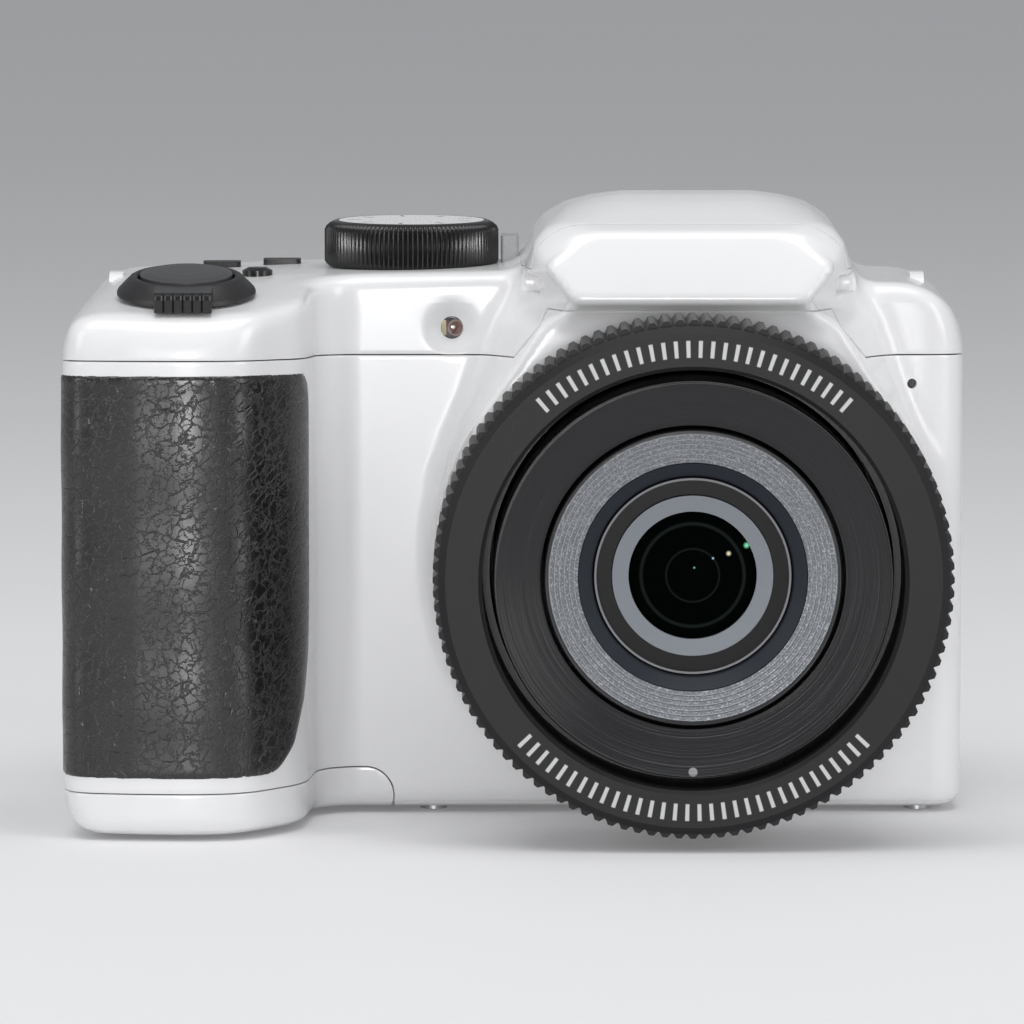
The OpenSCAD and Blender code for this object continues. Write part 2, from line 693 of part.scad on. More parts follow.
// Moving barrels: out_y is the front of the outer barrel, in_y the front of the inner one
out_y = ring_front + 2.4;
in_y = out_y + 1.6;
module outer_barrel() {
    color(black) turned([
        [outer_r, out_y + 0.4], [outer_r, front_y + 4], [outer_r - 1.8, front_y + 4],
        [outer_r - 1.8, out_y + 4.6],
        [inner_r + barrel_gap, out_y + 4.6], [inner_r + barrel_gap, out_y + 2.2],
        [outer_r - 0.6, out_y + 0.3],
        [outer_r - 0.6, out_y], [outer_r - 0.2, out_y]]);
}
module inner_barrel() {
    color(black) turned([
        [inner_r, in_y], [inner_r, front_y], [inner_r - 1.6, front_y], [inner_r - 1.6, in_y + 5.4],
        [glass_r + 2.4, in_y + 5.4], [glass_r + 2.4, in_y + 4], [mid_r, in_y + 4], [mid_r, in_y + 2.4],
        [inner_r - 0.5, in_y + 2.4], [inner_r - 0.5, in_y]]);
}
module front_groove_ring() {
    w = (inner_r - 0.52 - mid_r - 0.1) / 6;
    color(grey) turned(concat(
        [[mid_r + 0.1, in_y + 2.38]],
        [for (k = [0 : 5]) each [
            [mid_r + 0.1 + w * k, in_y + 0.95 - 0.13 * k],
            [mid_r + 0.1 + w * (k + 0.8), in_y + 0.85 - 0.13 * k],
            [mid_r + 0.1 + w * (k + 0.8), in_y + 1.1 - 0.13 * k],
            [mid_r + 0.1 + w * (k + 1), in_y + 1.1 - 0.13 * k]]],
        [[inner_r - 0.52, in_y + 2.38]]));
}
module front_retainer() {
    color(black) turned([
        [mid_r - 0.02, in_y + 1], [mid_r - 0.02, in_y + 3.98], [glass_r, in_y + 3.98],
        [glass_r, in_y + 3.2],
        [glass_r + 2.1, in_y + 2.7], [glass_r + 2.2, in_y + 3.4], [glass_r + 4.1, in_y + 3.4],
        [glass_r + 4.1, in_y + 2.3], [glass_r + 4.4, in_y + 2.3], [glass_r + 4.6, in_y + 2.7]]);
}
module front_lens() {
    color(glass) turned(concat(
        [[0, in_y + 6], [glass_r + 2.3, in_y + 5.4], [glass_r + 2.3, in_y + 4],
        [glass_r - 0.1, in_y + 4]],
        [for (k = [1 : 6]) [(glass_r - 0.1) * cos(k * 15), in_y + 4 - 1.1 * sin(k * 15)]]));
}
module rear_lens_cell() {
    color(black) difference() {
        lens_bore(inner_r - 3.4, front_y + 10.5, front_y + 15);
        lens_bore(inner_r - 10, front_y, front_y + 20);
        for (s = [-1, 1]) {
            bar_y(s * (inner_r - 6), lens_z, 1.06, front_y, front_y + 20);
        }
    }
}
module rear_lens() {
    color(glass) turned([
        [0, front_y + 11.4], [inner_r - 14, front_y + 11.7], [inner_r - 10.02, front_y + 12.6],
        [inner_r - 10.02, front_y + 14], [inner_r - 14, front_y + 14.5],
        [0, front_y + 14.7]]);
}

chassis_y = front_y + 23.4;
board_y = chassis_y + 0.8;
panel_y = rear_y - wall - 3;
board_x = [screen_x - screen_w / 2, right_reach - 9.7];
module chassis() {
    color(steel) difference() {
        back(box2(board_x[0], 9, board_x[1], seam_z + 0.3, 2), chassis_y, board_y);
        back(box2(-6, lens_z - 5, 6, lens_z + 5), chassis_y - 1, board_y + 1);
    }
}
module main_board() {
    color(green) union() {
        back(box2(board_x[0], 10, board_x[1], seam_z - 1.7, 1), board_y, board_y + 1.4);
        back(box2(-14, lens_z - 12, 6, lens_z + 8), board_y + 1, panel_y);
        back(box2(-30, lens_z - 16, -20, lens_z - 4), board_y + 1, panel_y - 0.5);
        back(box2(12, lens_z - 10, 22, lens_z + 10), board_y + 1, panel_y - 0.5);
    }
}
module lcd_panel() {
    color(dark) back(box2(screen_x - screen_w / 2 + 1, screen_z - screen_h / 2 + 1,
        screen_x + screen_w / 2 - 1,
        screen_z + screen_h / 2 - 1), panel_y, panel_y + 3);
}
module lcd_window() {
    color(glass) back(box2(screen_x - screen_w / 2, screen_z - screen_h / 2, screen_x + screen_w / 2,
        screen_z + screen_h / 2, 2), rear_y - 1, rear_y);
}

cell_x = grip_left + 15.1;
cell_y = [grip_y + 11.4, grip_y + 26.7];
module battery_holder() {
    color(dark) difference() {
        up(box2(cell_x - cell_r - 1.35, cell_y[0] - cell_r - 1.35, cell_x + cell_r + 1.35,
            cell_y[1] + cell_r + 1.35, 8),
            door_h + 0.6, cell_top + 1.6);
        for (y = cell_y) {
            bar_z(cell_x, y, cell_r + 0.2, -5, cell_top + 0.4);
        }
    }
}
module battery_cells() {
    color(grey) for (y = cell_y) {
        bar_z(cell_x, y, cell_r, cell_z, cell_top - 1.2);
        bar_z(cell_x, y, 2.7, cell_top - 1.3, cell_top);
    }
}
module battery_contacts() {
    color(steel) for (y = cell_y) {
        bar_z(cell_x, y, 5, cell_top, cell_top + 0.4);
    }
}
card_x = cell_x + cell_r + 4.25;
module card_socket() {
    color(steel) difference() {
        block(card_x, card_x + 3.2, front_y + 5, rear_y - 6, door_h + 0.6, door_h + 29.4);
        block(card_x + 0.4, card_x + 2.8, front_y + 6, rear_y - 7, 0, door_h + 28.4);
    }
}
flash_can_y = cell_y[1] + cell_r + 1.35 + 6.4;
module flash_capacitor() {
    color(dark) union() {
        bar_z(cell_x, flash_can_y, 6, door_h + 2.4, door_h + 31.4);
        bar_z(cell_x, flash_can_y, 5.6, door_h + 1.4, door_h + 2.5);
    }
}
module usb_socket() {
    color(steel) difference() {
        block(right_reach - wall - 5.8, right_reach - wall - 0.05, port_y - 1.5, port_y + 1.5,
            port_z - 3.9, port_z + 3.9);
        block(right_reach - wall - 5, right_reach, port_y - 1.1, port_y + 1.1, port_z - 3.5,
            port_z + 3.5);
    }
}
module lamp_lens() {
    color(clear) translate([lamp_x, 0, lamp_z]) rotate([-90, 0, 0]) rotate_extrude($fn = 48) polygon([
        [0, front_y + 0.5], [1.2, front_y + 0.65], [2, front_y + 1.2], [2, front_y + 2.8],
        [0, front_y + 2.8]]);
}
module lamp_led() {
    color([0.8, 0.7, 0.3]) bar_y(lamp_x, lamp_z, 1.5, front_y + 2.8, front_y + 6);
}
module microphone() {
    color(steel) bar_y(right_reach - 7.75, lens_z + 22.1, 2, front_y + wall, front_y + wall + 1.5);
}
module strap_lug(x) {
    color(white) difference() {
        union() {
            across(rounded([[lug_y - 3.5, lug_z - 4.7, 0], [lug_y + 3.5, lug_z - 4.7, 0],
                [lug_y + 3.5, lug_z + 2.7, 2.7],
                [lug_y - 3.5, lug_z + 2.7, 2.7]]), x - strap_t / 2, x + strap_t / 2);
            block(x - 2.4, x + 2.4, lug_y - 4, lug_y + 4, lug_z - 5.8, lug_z - 4.62);
        }
        bar_x(lug_y, lug_z, strap_r, x - 5, x + 5);
    }
}
module strap_lug_left() {
    strap_lug(lug_left_x);
}
module strap_lug_right() {
    strap_lug(lug_right_x);
}

// Flash head: win_top and win_low are the slanted window's edges as [y, z]
win_top = [front_y - 7.9, top_z + 4.9];
win_low = [front_y - 3.6, top_z - 1.5];
win_t = 1.4;
module flash_housing() {
    color(white) difference() {
        union() {
            intersection() {
                hump_form();
                flash_zone();
            }
            block(-flash_half, flash_half, fairing_y + 6.2, 3.4, top_z - 1.5, top_z + 1);
        }
        intersection() {
            hump_form(1.6);
            bar_x(flash_y, flash_z, flash_reach - 1.6, -40, 40);
            block(-flash_half + 1.2, flash_half - 1.2, -60, 4.2, top_z - 0.3, 120);
        }
        across([[-60, top_z - 3.5], [-60, win_top[1]], [win_top[0] + win_t, win_top[1]],
            [win_low[0] + win_t, win_low[1]], [win_low[0] + win_t, top_z - 3.5]], -flash_half + 1.35,
                flash_half - 1.35);
        for (s = [-1, 1]) {
            block(s * ear_x - 1.6, s * ear_x + 1.6, 1.5, 20, top_z - 3.5, hump_z - 3.2);
        }
        bar_x(flash_y, flash_z, pin_r + 0.05, -flash_half - 1, flash_half + 1);
    }
}
module flash_window() {
    color(clear) across([win_top, win_top + [win_t, 0], win_low + [win_t, 0], win_low],
        -flash_half + 1.4, flash_half - 1.4);
}
module flash_reflector() {
    color(steel) difference() {
        across([[win_top[0] + win_t + 0.86, win_top[1] - 1.2], [win_low[0] + win_t - 0.8, top_z - 0.2],
            [front_y + 5, top_z - 0.2], [front_y + 5, win_top[1] - 1.2]], -flash_half + 1.6,
                flash_half - 1.6);
        across([[win_top[0] + win_t, win_top[1] - 1.7], [win_low[0] - 0.4, top_z + 0.4],
        [front_y + 3, top_z + 1.3],
            [front_y + 3, win_top[1] - 2.2]], -flash_half + 2.2, flash_half - 2.2);
    }
}
module flash_tube() {
    color(clear) bar_x(front_y + 1.5, top_z + 1.95, 0.6, -flash_half + 2.2, flash_half - 2.2);
}
module flash_pin() {
    color(steel) bar_x(flash_y, flash_z, pin_r, -flash_half - 0.6, flash_half + 0.6);
}

module mode_dial() {
    color(dark) difference() {
        union() {
            translate([dial_x, dial_y, dial_z - 0.2]) linear_extrude(dial_h - 0.8)
                polygon(ribs(dial_ribs, dial_r, dial_r - 0.5, 0.2));
            translate([dial_x, dial_y, dial_z - 0.2]) cylinder(h = dial_h - 0.6, r = dial_r - 0.5,
                $fn = 96);
            translate([dial_x, dial_y, dial_z + dial_h - 0.9])
                cylinder(h = 0.9, r1 = dial_r - 0.5, r2 = dial_r - 1.4, $fn = 96);
            bar_z(dial_x, dial_y, 3.5, dial_z - 4.5, dial_z);
        }
        bar_z(dial_x, dial_y, dial_r - 1.9, dial_z + dial_h - 0.6, 100);
    }
}
module dial_cap() {
    color(grey) bar_z(dial_x, dial_y, dial_r - 1.92, dial_z + dial_h - 0.6, dial_z + dial_h - 0.05);
}
module zoom_lever() {
    color(black) on_grip() difference() {
        union() {
            translate([0, 0, 0.2]) cylinder(h = 0.5, r = lever_r, $fn = 96);
            translate([0, 0, 0.7]) cylinder(h = 2, r1 = lever_r, r2 = lever_r - 1.9, $fn = 96);
            translate([-3.75, -lever_r - 2.5, 0.2]) cube([7.5, 6, 2.5]);
            for (k = [-2 : 2]) {
                translate([k * 1.4 - 0.3, -lever_r - 2.75, 0.3]) cube([0.6, 3, 2.1]);
            }
            translate([0, 0, -4.6]) cylinder(h = 5, r = 4.4, $fn = 64);
        }
        translate([0, 0, 1]) cylinder(h = 5, r = shutter_r + button_gap, $fn = 96);
        translate([0, 0, -6]) cylinder(h = 12, r = 2.6, $fn = 64);
    }
}
module shutter_button() {
    color(black) on_grip() union() {
        translate([0, 0, 2.2]) cylinder(h = 0.7, r = shutter_r, $fn = 96);
        translate([0, 0, 2.9]) cylinder(h = 0.3, r1 = shutter_r, r2 = shutter_r - 1, $fn = 96);
        translate([0, 0, 3.2]) cylinder(h = 0.15, r1 = shutter_r - 1, r2 = shutter_r - 3, $fn = 96);
        translate([0, 0, -4]) cylinder(h = 6.3, r = 2.2, $fn = 64);
    }
}
module power_button() {
    color(black) union() {
        bar_z(power_at[0], power_at[1], 2, key_z - 4, key_z + 0.8);
        translate([power_at[0], power_at[1], key_z + 0.8]) cylinder(h = 0.4, r1 = 2, r2 = 1.2,
            $fn = 48);
    }
}
module top_key(p, h) {
    color(dark) up(box2(p[0] - 2.5, p[1] - 1.5, p[0] + 2.5, p[1] + 1.5, 0.6), key_z - 4, key_z + h);
}
module drive_button() {
    top_key(drive_at, 0.8);
}
module exposure_button() {
    top_key(expo_at, 1);
}
module flash_button() {
    color(grey) up(box2(flash_key_x - flash_key_half, 1, flash_key_x + flash_key_half, 7, 0.4),
        top_z - 4.4, top_z + 2.9);
}
module rear_key(p, r) {
    color(grey) translate([p[0], rear_y - 4.6, p[1]]) rotate([-90, 0, 0]) union() {
        cylinder(h = 5, r = r, $fn = 48);
        translate([0, 0, 5]) cylinder(h = 0.3, r1 = r, r2 = r - 0.4, $fn = 48);
    }
}
module record_button() {
    rear_key(record_at, 3);
}
module menu_button() {
    rear_key(menu_at, 2.6);
}
module play_button() {
    rear_key(play_at, 2.6);
}
module display_button() {
    rear_key(show_at, 2.6);
}
module set_button() {
    color(grey) bar_y(key_at[0], key_at[1], 4, rear_y - 5, rear_y + 0.9);
}
module control_ring() {
    color(grey) difference() {
        union() {
            bar_y(key_at[0], key_at[1], 9, rear_y - 0.7, rear_y + 0.4);
            translate([key_at[0], rear_y + 0.4, key_at[1]]) rotate([-90, 0, 0]) cylinder(h = 0.5,
                r1 = 9, r2 = 8.4, $fn = 64);
            bar_y(key_at[0], key_at[1], 5.7, rear_y - 3, rear_y - 0.6);
        }
        bar_y(key_at[0], key_at[1], 4 + button_gap, rear_y - 6, rear_y + 3);
    }
}

module battery_door() {
    color(white) difference() {
        intersection() {
            union() {
                body_form();
                grip_form();
            }
            union() {
                block(-120, hinge_x, -80, rear_y - 4.8, -1, door_h - 0.15);
                bar_y(hinge_x, hinge_z, door_end_r - 0.15, -80, rear_y - 4.8);
            }
        }
        intersection() {
            union() {
                body_form(wall);
                grip_form(wall + 0.4);
            }
            block(-120, hinge_x - 3, -80, rear_y - 6.8, base_t + 0.2, 20);
        }
        bar_y(hinge_x, hinge_z, door_pin_r + 0.05, rear_y - 8.8, rear_y);
    }
}
module door_contact() {
    color(steel) union() {
        block(cell_x - 4, cell_x + 4, cell_y[0] - 4, cell_y[1] + 4, base_t + 0.2, base_t + 0.8);
        for (y = cell_y) {
            translate([cell_x, y, base_t + 0.7]) cylinder(h = cell_z - base_t - 0.9, r1 = 3.6, r2 = 2,
                $fn = 48);
        }
    }
}
module port_cover() {
    color(white) difference() {
        union() {
            up(rounded([[right_reach - 1.2, port_y - 4.5, 0.2], [right_reach, port_y - 4.5, 0.2],
                [right_reach, port_y + 4.6, 0], [right_reach - 1.2, port_y + 4.6, 0]]), port_z - 10,
                    port_z + 10);
            bar_z(right_reach - 0.6, port_y + 4.6, 0.59, port_z - 10, port_z + 10);
        }
        block(right_reach - 0.5, right_reach + 1, port_y - 5, port_y - 3.9, port_z - 3, port_z + 3);
    }
}

front_cover();
top_cover();
rear_cover();
base_plate();
grip_skin();
lens_ring();
lens_tube();
lens_base();
guide_rods();
image_sensor();
sensor_board();
chassis();
main_board();
lcd_panel();
lcd_window();
battery_holder();
battery_cells();
battery_contacts();
card_socket();
tripod_bush();
strap_lug_left();
strap_lug_right();
lamp_lens();
lamp_led();
microphone();
flash_capacitor();
zoom_motor();
usb_socket();
case_screws();
flash_pin();
flash_housing();
flash_window();
flash_reflector();
flash_tube();
mode_dial();
dial_cap();
zoom_lever();
shutter_button();
power_button();
drive_button();
exposure_button();
flash_button();
record_button();
menu_button();
play_button();
display_button();
set_button();
control_ring();
outer_barrel();
inner_barrel();
front_groove_ring();
front_retainer();
front_lens();
rear_lens_cell();
rear_lens();
cam_ring();
drive_gear();
battery_door();
door_contact();
port_cover();
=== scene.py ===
import math

import bmesh
import bpy
import numpy as np
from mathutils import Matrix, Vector


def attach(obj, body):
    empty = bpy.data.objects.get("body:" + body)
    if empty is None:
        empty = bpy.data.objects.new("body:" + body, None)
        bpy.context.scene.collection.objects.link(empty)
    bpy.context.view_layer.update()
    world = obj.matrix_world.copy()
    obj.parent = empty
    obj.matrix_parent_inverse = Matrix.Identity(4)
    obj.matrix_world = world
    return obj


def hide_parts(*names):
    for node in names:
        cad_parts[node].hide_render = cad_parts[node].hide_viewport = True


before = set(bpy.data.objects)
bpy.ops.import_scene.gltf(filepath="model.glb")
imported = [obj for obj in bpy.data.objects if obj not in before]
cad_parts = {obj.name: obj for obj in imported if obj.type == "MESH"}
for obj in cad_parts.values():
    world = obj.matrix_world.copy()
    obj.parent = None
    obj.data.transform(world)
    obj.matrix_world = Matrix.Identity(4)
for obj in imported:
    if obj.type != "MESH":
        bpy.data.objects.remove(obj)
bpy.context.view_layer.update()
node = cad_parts

# White shell.
# The real covers are moulded in white plastic and polished. They are drawn here as one smooth form, because
# the seams between them run across it without a step, and then cut into the separate covers.


def outline(corners, n=9):
    """Closed outline from corners x, y and, where they are rounded, a radius."""
    c = [np.array(p[:2], float) for p in corners]
    out = []
    for i, p in enumerate(corners):
        r = p[2] if len(p) > 2 else 0
        a, b, d = c[i - 1], c[i], c[(i + 1) % len(c)]
        u, v = (a - b) / np.linalg.norm(a - b), (d - b) / np.linalg.norm(d - b)
        half = math.acos(np.clip(u @ v, -1, 1)) / 2
        if not r or half > 1.56:
            out.append(b)
            continue
        centre = b + (u + v) / np.linalg.norm(u + v) * r / math.sin(half)
        p0, p1 = b + u * r / math.tan(half) - centre, b + v * r / math.tan(half) - centre
        turn = math.atan2(p0[0] * p1[1] - p0[1] * p1[0], p0 @ p1)
        for k in range(n + 1):
            t = turn * k / n
            s, o = math.sin(t), math.cos(t)
            out.append(centre + np.array([p0[0] * o - p0[1] * s, p0[0] * s + p0[1] * o]))
    return np.array(out)


def reach(poly, u, v):
    """Distance to an outline, below zero inside it."""
    u, v = np.broadcast_arrays(u, v)
    near, inside = np.full(u.shape, 1e9), np.zeros(u.shape, bool)
    for (ax, ay), (bx, by) in zip(poly, np.roll(poly, -1, 0)):
        ex, ey = bx - ax, by - ay
        t = np.clip(((u - ax) * ex + (v - ay) * ey) / max(ex * ex + ey * ey, 1e-12), 0, 1)
        near = np.minimum(near, (u - ax - ex * t) ** 2 + (v - ay - ey * t) ** 2)
        inside ^= ((ay > v) != (by > v)) & (u < ex * (v - ay) / (ey if ey else 1e-9) + ax)
    return np.where(inside, -1, 1) * np.sqrt(near)


def both(a, b, k):
    """Where two forms meet, with the edge rounded over k."""
    return np.maximum(a, b) + np.maximum(k - np.abs(a - b), 0) ** 2 / (4 * k)


def either(a, b, k):
    """Two forms joined, with the inner corner filled over k."""
    return -both(-a, -b, k)


def ease(t):
    t = np.clip(t, 0, 1)
    return t * t * (3 - 2 * t)


LENS_Z = 34.9
MOUNT_FRONT, BORE_FLOOR, BORE_R = -28, -9, 31.45
LAMP_X, LAMP_Z = -31, 64.3
PLAN = outline([
    (37.2, -15, 6), (37.2, 19, 6), (-80.5, 19, 6), (-80.5, 2, 40), (-81.8, -30, 20), (-81.7, -39, 6),
    (-71.5, -41.2, 14), (-64.5, -42, 12), (-57.5, -40.4, 12), (-50, -31, 12), (-48.4, -15, 6)])
FACE = outline([
    (-81.8, 0, 6.5), (37.2, 0, 3), (37.2, 70.1, 10), (22, 70.3), (-22, 72.4), (-48, 71.5), (-64, 70.7),
    (-81.8, 69.7, 9)])
GRIP_SIDE = outline([(-42, 0, 3), (19, 0, 2), (19, 72.2, 3), (-9, 72, 12), (-42, 67.3, 6.5)])
BODY_SIDE = outline([(-60, 0), (19, 0, 2), (19, 72.4, 3), (-60, 72.4)])
HUMP_HALF = [
    (22.8, 64.8), (22.1, 71.4), (21.5, 72.9), (20.8, 74.5), (20.2, 76.1), (18.8, 77.9), (16, 79.9),
    (12.6, 81.2), (8.6, 82.1)]
HUMP_FACE = np.array(HUMP_HALF + [(-x, z) for x, z in HUMP_HALF[::-1]])
HUMP_SIDE = outline([
    (-15, 64.8), (-28, 67.5), (-31, 68.8, 0.8), (-30.6, 69.9), (-26.6, 77.7, 1.6), (-13, 81), (-8, 82.1),
    (-3, 82.5), (3, 81.8), (8, 80.7), (13, 77.9), (17, 75.1), (18.7, 70.6), (15.5, 63.1)])
NOSE_FACE = outline([
    (15.5, 60), (15.5, 69), (19.4, 73.4, 1.2), (13.2, 78.3, 7), (-13.2, 78.3, 7), (-19.4, 73.4, 1.2),
    (-15.5, 69), (-15.5, 60)])
HUMP_PLAN = outline([
    (-17.9, -33), (17.9, -33), (22.1, -20, 30), (23.5, -13), (23.5, 20), (-23.5, 20), (-23.5, -13),
    (-22.1, -20, 30)])


def shell(x, y, z):
    """Distance in millimetres to the outside of the closed camera."""
    # Body and grip, with shallow waves for the fingers down the crest
    side = 1 - ease((x + 53) / 11)
    side = side * reach(GRIP_SIDE, y, z) + (1 - side) * reach(BODY_SIDE, y, z)
    waves = 0.13 * np.cos((z - 42) / 2.6) * ease((-y - 30) / 8) * ease((z - 8) / 8)
    main = both(both(reach(PLAN, x, y) + waves, reach(FACE, x, z), 3), side, 2.4)
    # Lens mount: a short cone, and flat cheeks that lean in from its sides up to the nose
    rad = np.hypot(x, z - LENS_Z)
    t = np.clip((y - MOUNT_FRONT) / 13, 0, 1)
    x0, z0, x1, z1 = 27.7 + 3.8 * t, 52.9 - 7.4 * t, 18 + 6.3 * t, 67.5
    long = np.hypot(x1 - x0, z1 - z0)
    cheek = ((np.abs(x) - x0) * (z1 - z0) - (z - z0) * (x1 - x0)) / long
    low = np.arctan2(z0 - LENS_Z, x0)
    under = np.abs(x) * np.sin(low) - (z - LENS_Z) * np.cos(low)
    wedge = both(both(cheek, z - z1, 3), under, 2)
    cone = rad - 33.5 - (y + 15) / 13
    mount = both(either(cone, wedge, 2), np.maximum(MOUNT_FRONT - y, y - BORE_FLOOR), 1.2)
    # Hump, with the slanted shoulders of its nose in front
    hump = both(both(reach(HUMP_FACE, x, z), reach(HUMP_SIDE, y, z), 2.4), reach(HUMP_PLAN, x, y), 2)
    hump = both(hump, reach(NOSE_FACE, x, z) - 0.6 * np.maximum(y + 27, 0), 1.6)
    out = either(either(main, mount, 2.5), hump, 3)
    # Flat foot, lens bore, dish of the focus lamp and the notches under the nose
    out = both(out, -z, 0.8)
    out = both(out, np.minimum(BORE_R - rad, BORE_FLOOR - y), 0.5)
    dish = np.sqrt((x - LAMP_X) ** 2 + (y + 18.4) ** 2 + (z - LAMP_Z) ** 2) - 4.6
    out = both(out, -dish, 0.6)
    notch = np.maximum(np.abs(np.abs(x) - 20.4) - 1.2, np.abs(z - 70.6) - 1.1)
    return both(out, -np.maximum(notch, np.abs(y + 22) - 4), 0.4)


def surface(form, low, high, step):
    """Quads over the zero level of a form, each corner moved onto it."""
    ax = [np.arange(a, b + step, step) for a, b in zip(low, high)]
    d = form(ax[0][:, None, None], ax[1][None, :, None], ax[2][None, None, :]).astype(np.float32)
    d = np.broadcast_to(d, [len(a) for a in ax])
    cells = [s - 1 for s in d.shape]
    pos, count = np.zeros(cells + [3], np.float32), np.zeros(cells, np.int16)
    corner = [(i, j, k) for i in (0, 1) for j in (0, 1) for k in (0, 1)]
    view = {c: d[tuple(slice(o, s - 1 + o) for o, s in zip(c, d.shape))] for c in corner}
    for a in corner:
        for i in range(3):
            if a[i]:
                continue
            b = tuple(1 if q == i else a[q] for q in range(3))
            cut = (view[a] < 0) != (view[b] < 0)
            t = view[a] / np.where(cut, view[a] - view[b], 1)
            for q in range(3):
                pos[..., q] += np.where(cut, a[q] + (t if q == i else 0), 0)
            count += cut
    live = count > 0
    index = np.full(count.shape, -1)
    index[live] = np.arange(live.sum())
    p = pos[live] / count[live][:, None] + np.argwhere(live)
    p = np.stack([ax[q][0] + p[:, q] * step for q in range(3)], 1).astype(float)
    for _ in range(2):
        v = form(*p.T)
        g = np.stack([form(*(p + e).T) - v for e in np.eye(3) * 0.01], 1) / 0.01
        p -= np.clip(v / np.maximum((g * g).sum(1), 0.2), -0.4, 0.4)[:, None] * g
    quads = []
    for i in range(3):
        j, k = (i + 1) % 3, (i + 2) % 3
        a = d[tuple(slice(0, -1) if q == i else slice(1, -1) for q in range(3))]
        b = d[tuple(slice(1, None) if q == i else slice(1, -1) for q in range(3))]
        hit = np.argwhere((a < 0) != (b < 0))
        inside = (a < 0)[tuple(hit.T)]
        hit[:, j] += 1
        hit[:, k] += 1
        ring = []
        for dj, dk in ((1, 1), (0, 1), (0, 0), (1, 0)):
            c = hit.copy()
            c[:, j] -= dj
            c[:, k] -= dk
            ring.append(index[tuple(c.T)])
        q = np.stack(ring, 1)
        q[~inside] = q[~inside][:, ::-1]
        quads.append(q)
    return p, np.concatenate(quads)


points, quads = surface(shell, (-83.5, -44, -1.5), (39, 21, 84.5), 0.62)
MM = 0.001


def add(name, verts, faces, material, body, stands_for=(), smooth=True):
    """A piece from points in millimetres, which moves with a body of the frame."""
    mesh = bpy.data.meshes.new(name)
    verts = np.asarray(verts, float) * MM
    mesh.from_pydata([tuple(v) for v in verts], [], [tuple(map(int, f)) for f in faces])
    mesh.polygons.foreach_set("use_smooth", [smooth] * len(mesh.polygons))
    mesh.materials.append(material)
    obj = bpy.data.objects.new(name, mesh)
    bpy.context.scene.collection.objects.link(obj)
    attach(obj, body)
    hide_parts(*stands_for)
    return obj


def rounded(obj, width, angle):
    """Breaks the sharp edges of a piece, as moulding does."""
    mod = obj.modifiers.new("edges", "BEVEL")
    mod.width, mod.segments = width * MM, 2
    mod.limit_method, mod.angle_limit = "ANGLE", math.radians(angle)
    mod.harden_normals = False
    return obj


class Wire:
    """An output of a shader node that takes plain arithmetic."""

    def __init__(self, tree, out):
        self.tree, self.out = tree, out

    def node(self, kind, plugs, out=0, **settings):
        n = self.tree.nodes.new(kind)
        for key, value in settings.items():
            setattr(n, key, value)
        for key, value in plugs.items():
            if isinstance(value, Wire):
                self.tree.links.new(value.out, n.inputs[key])
            else:
                n.inputs[key].default_value = value
        return Wire(self.tree, n.outputs[out])

    def math(self, op, *others):
        return self.node("ShaderNodeMath", dict(enumerate((self, *others))), operation=op)

    def mix(self, a, b):
        """Colour a where this is 0 and b where it is 1."""
        return self.node("ShaderNodeMix", {0: self, 6: a, 7: b}, 2, data_type="RGBA")

    def every(self):
        """All outputs of the node that this one comes from, by name."""
        return {o.name: Wire(self.tree, o) for o in self.out.node.outputs}

    def split(self):
        return self.node("ShaderNodeSeparateXYZ", {0: self}).every().values()

    def noise(self, scale, detail=3.0, **more):
        return self.node("ShaderNodeTexNoise", {"Vector": self, "Scale": scale, "Detail": detail, **more})

    def off(self, value):
        """How far this is from a value."""
        return (self - value).math("ABSOLUTE")

    def step(self, low, high):
        """Rises smoothly from 0 at low to 1 at high."""
        return self.node("ShaderNodeMapRange", {0: self, 1: low, 2: high}, interpolation_type="SMOOTHSTEP")

    def __add__(self, o):
        return self.math("ADD", o)

    def __sub__(self, o):
        return self.math("SUBTRACT", o)

    def __mul__(self, o):
        return self.math("MULTIPLY", o)

    def __truediv__(self, o):
        return self.math("DIVIDE", o)

    def __rsub__(self, o):
        return self * -1.0 + o

    __radd__ = __add__
    __rmul__ = __mul__


def finish(name, look, **fixed):
    """A material: look takes the object coordinates and returns what varies over the surface."""
    mat = bpy.data.materials.new(name)
    mat.use_nodes = True
    tree = mat.node_tree
    bsdf = tree.nodes["Principled BSDF"]
    for key, value in fixed.items():
        bsdf.inputs[key.replace("_", " ")].default_value = value
    place = Wire(tree, tree.nodes.new("ShaderNodeTexCoord").outputs["Object"])
    for key, value in look(place).items():
        if key == "bump":
            height, strength, distance = value
            plugs = {"Height": height, "Strength": strength, "Distance": distance}
            value = height.node("ShaderNodeBump", plugs)
            key = "Normal"
        tree.links.new(value.out, bsdf.inputs[key])
    return mat


def white_look(p):
    cloud = p.noise(60.0)
    return {
        "Base Color": cloud.mix((0.78, 0.78, 0.785, 1), (0.81, 0.81, 0.815, 1)),
        "Roughness": p.noise(900.0, 2.0) * 0.08 + 0.2,
        "bump": (p.noise(1500.0, 2.0), 0.02, 0.0002),
    }


white = finish("white_shell", white_look, Coat_Weight=0.25, Coat_Roughness=0.12)


# Where the seams run: height and fall of the long seam, crown over the lens mount, plane between front and rear
SEAM_Z, SEAM_FALL = 60.8, 0.05
CROWN = [(24.1, 59.8), (19.5, 65.6), (18.5, 67.6)]
PARTING, BASE_TOP = 2, 1.4
DOOR_PIN, DOOR_END, DOOR_TOP, DOOR_BACK = (-42.5, 2.4), 3.8, 6.2, 14.4
FLASH_FRONT, FLASH_FLOOR, HINGE = -23.1, 72.6, (8, 76.7)
GAP = 0.09


def seam(y):
    return SEAM_Z - SEAM_FALL * (y + 15)


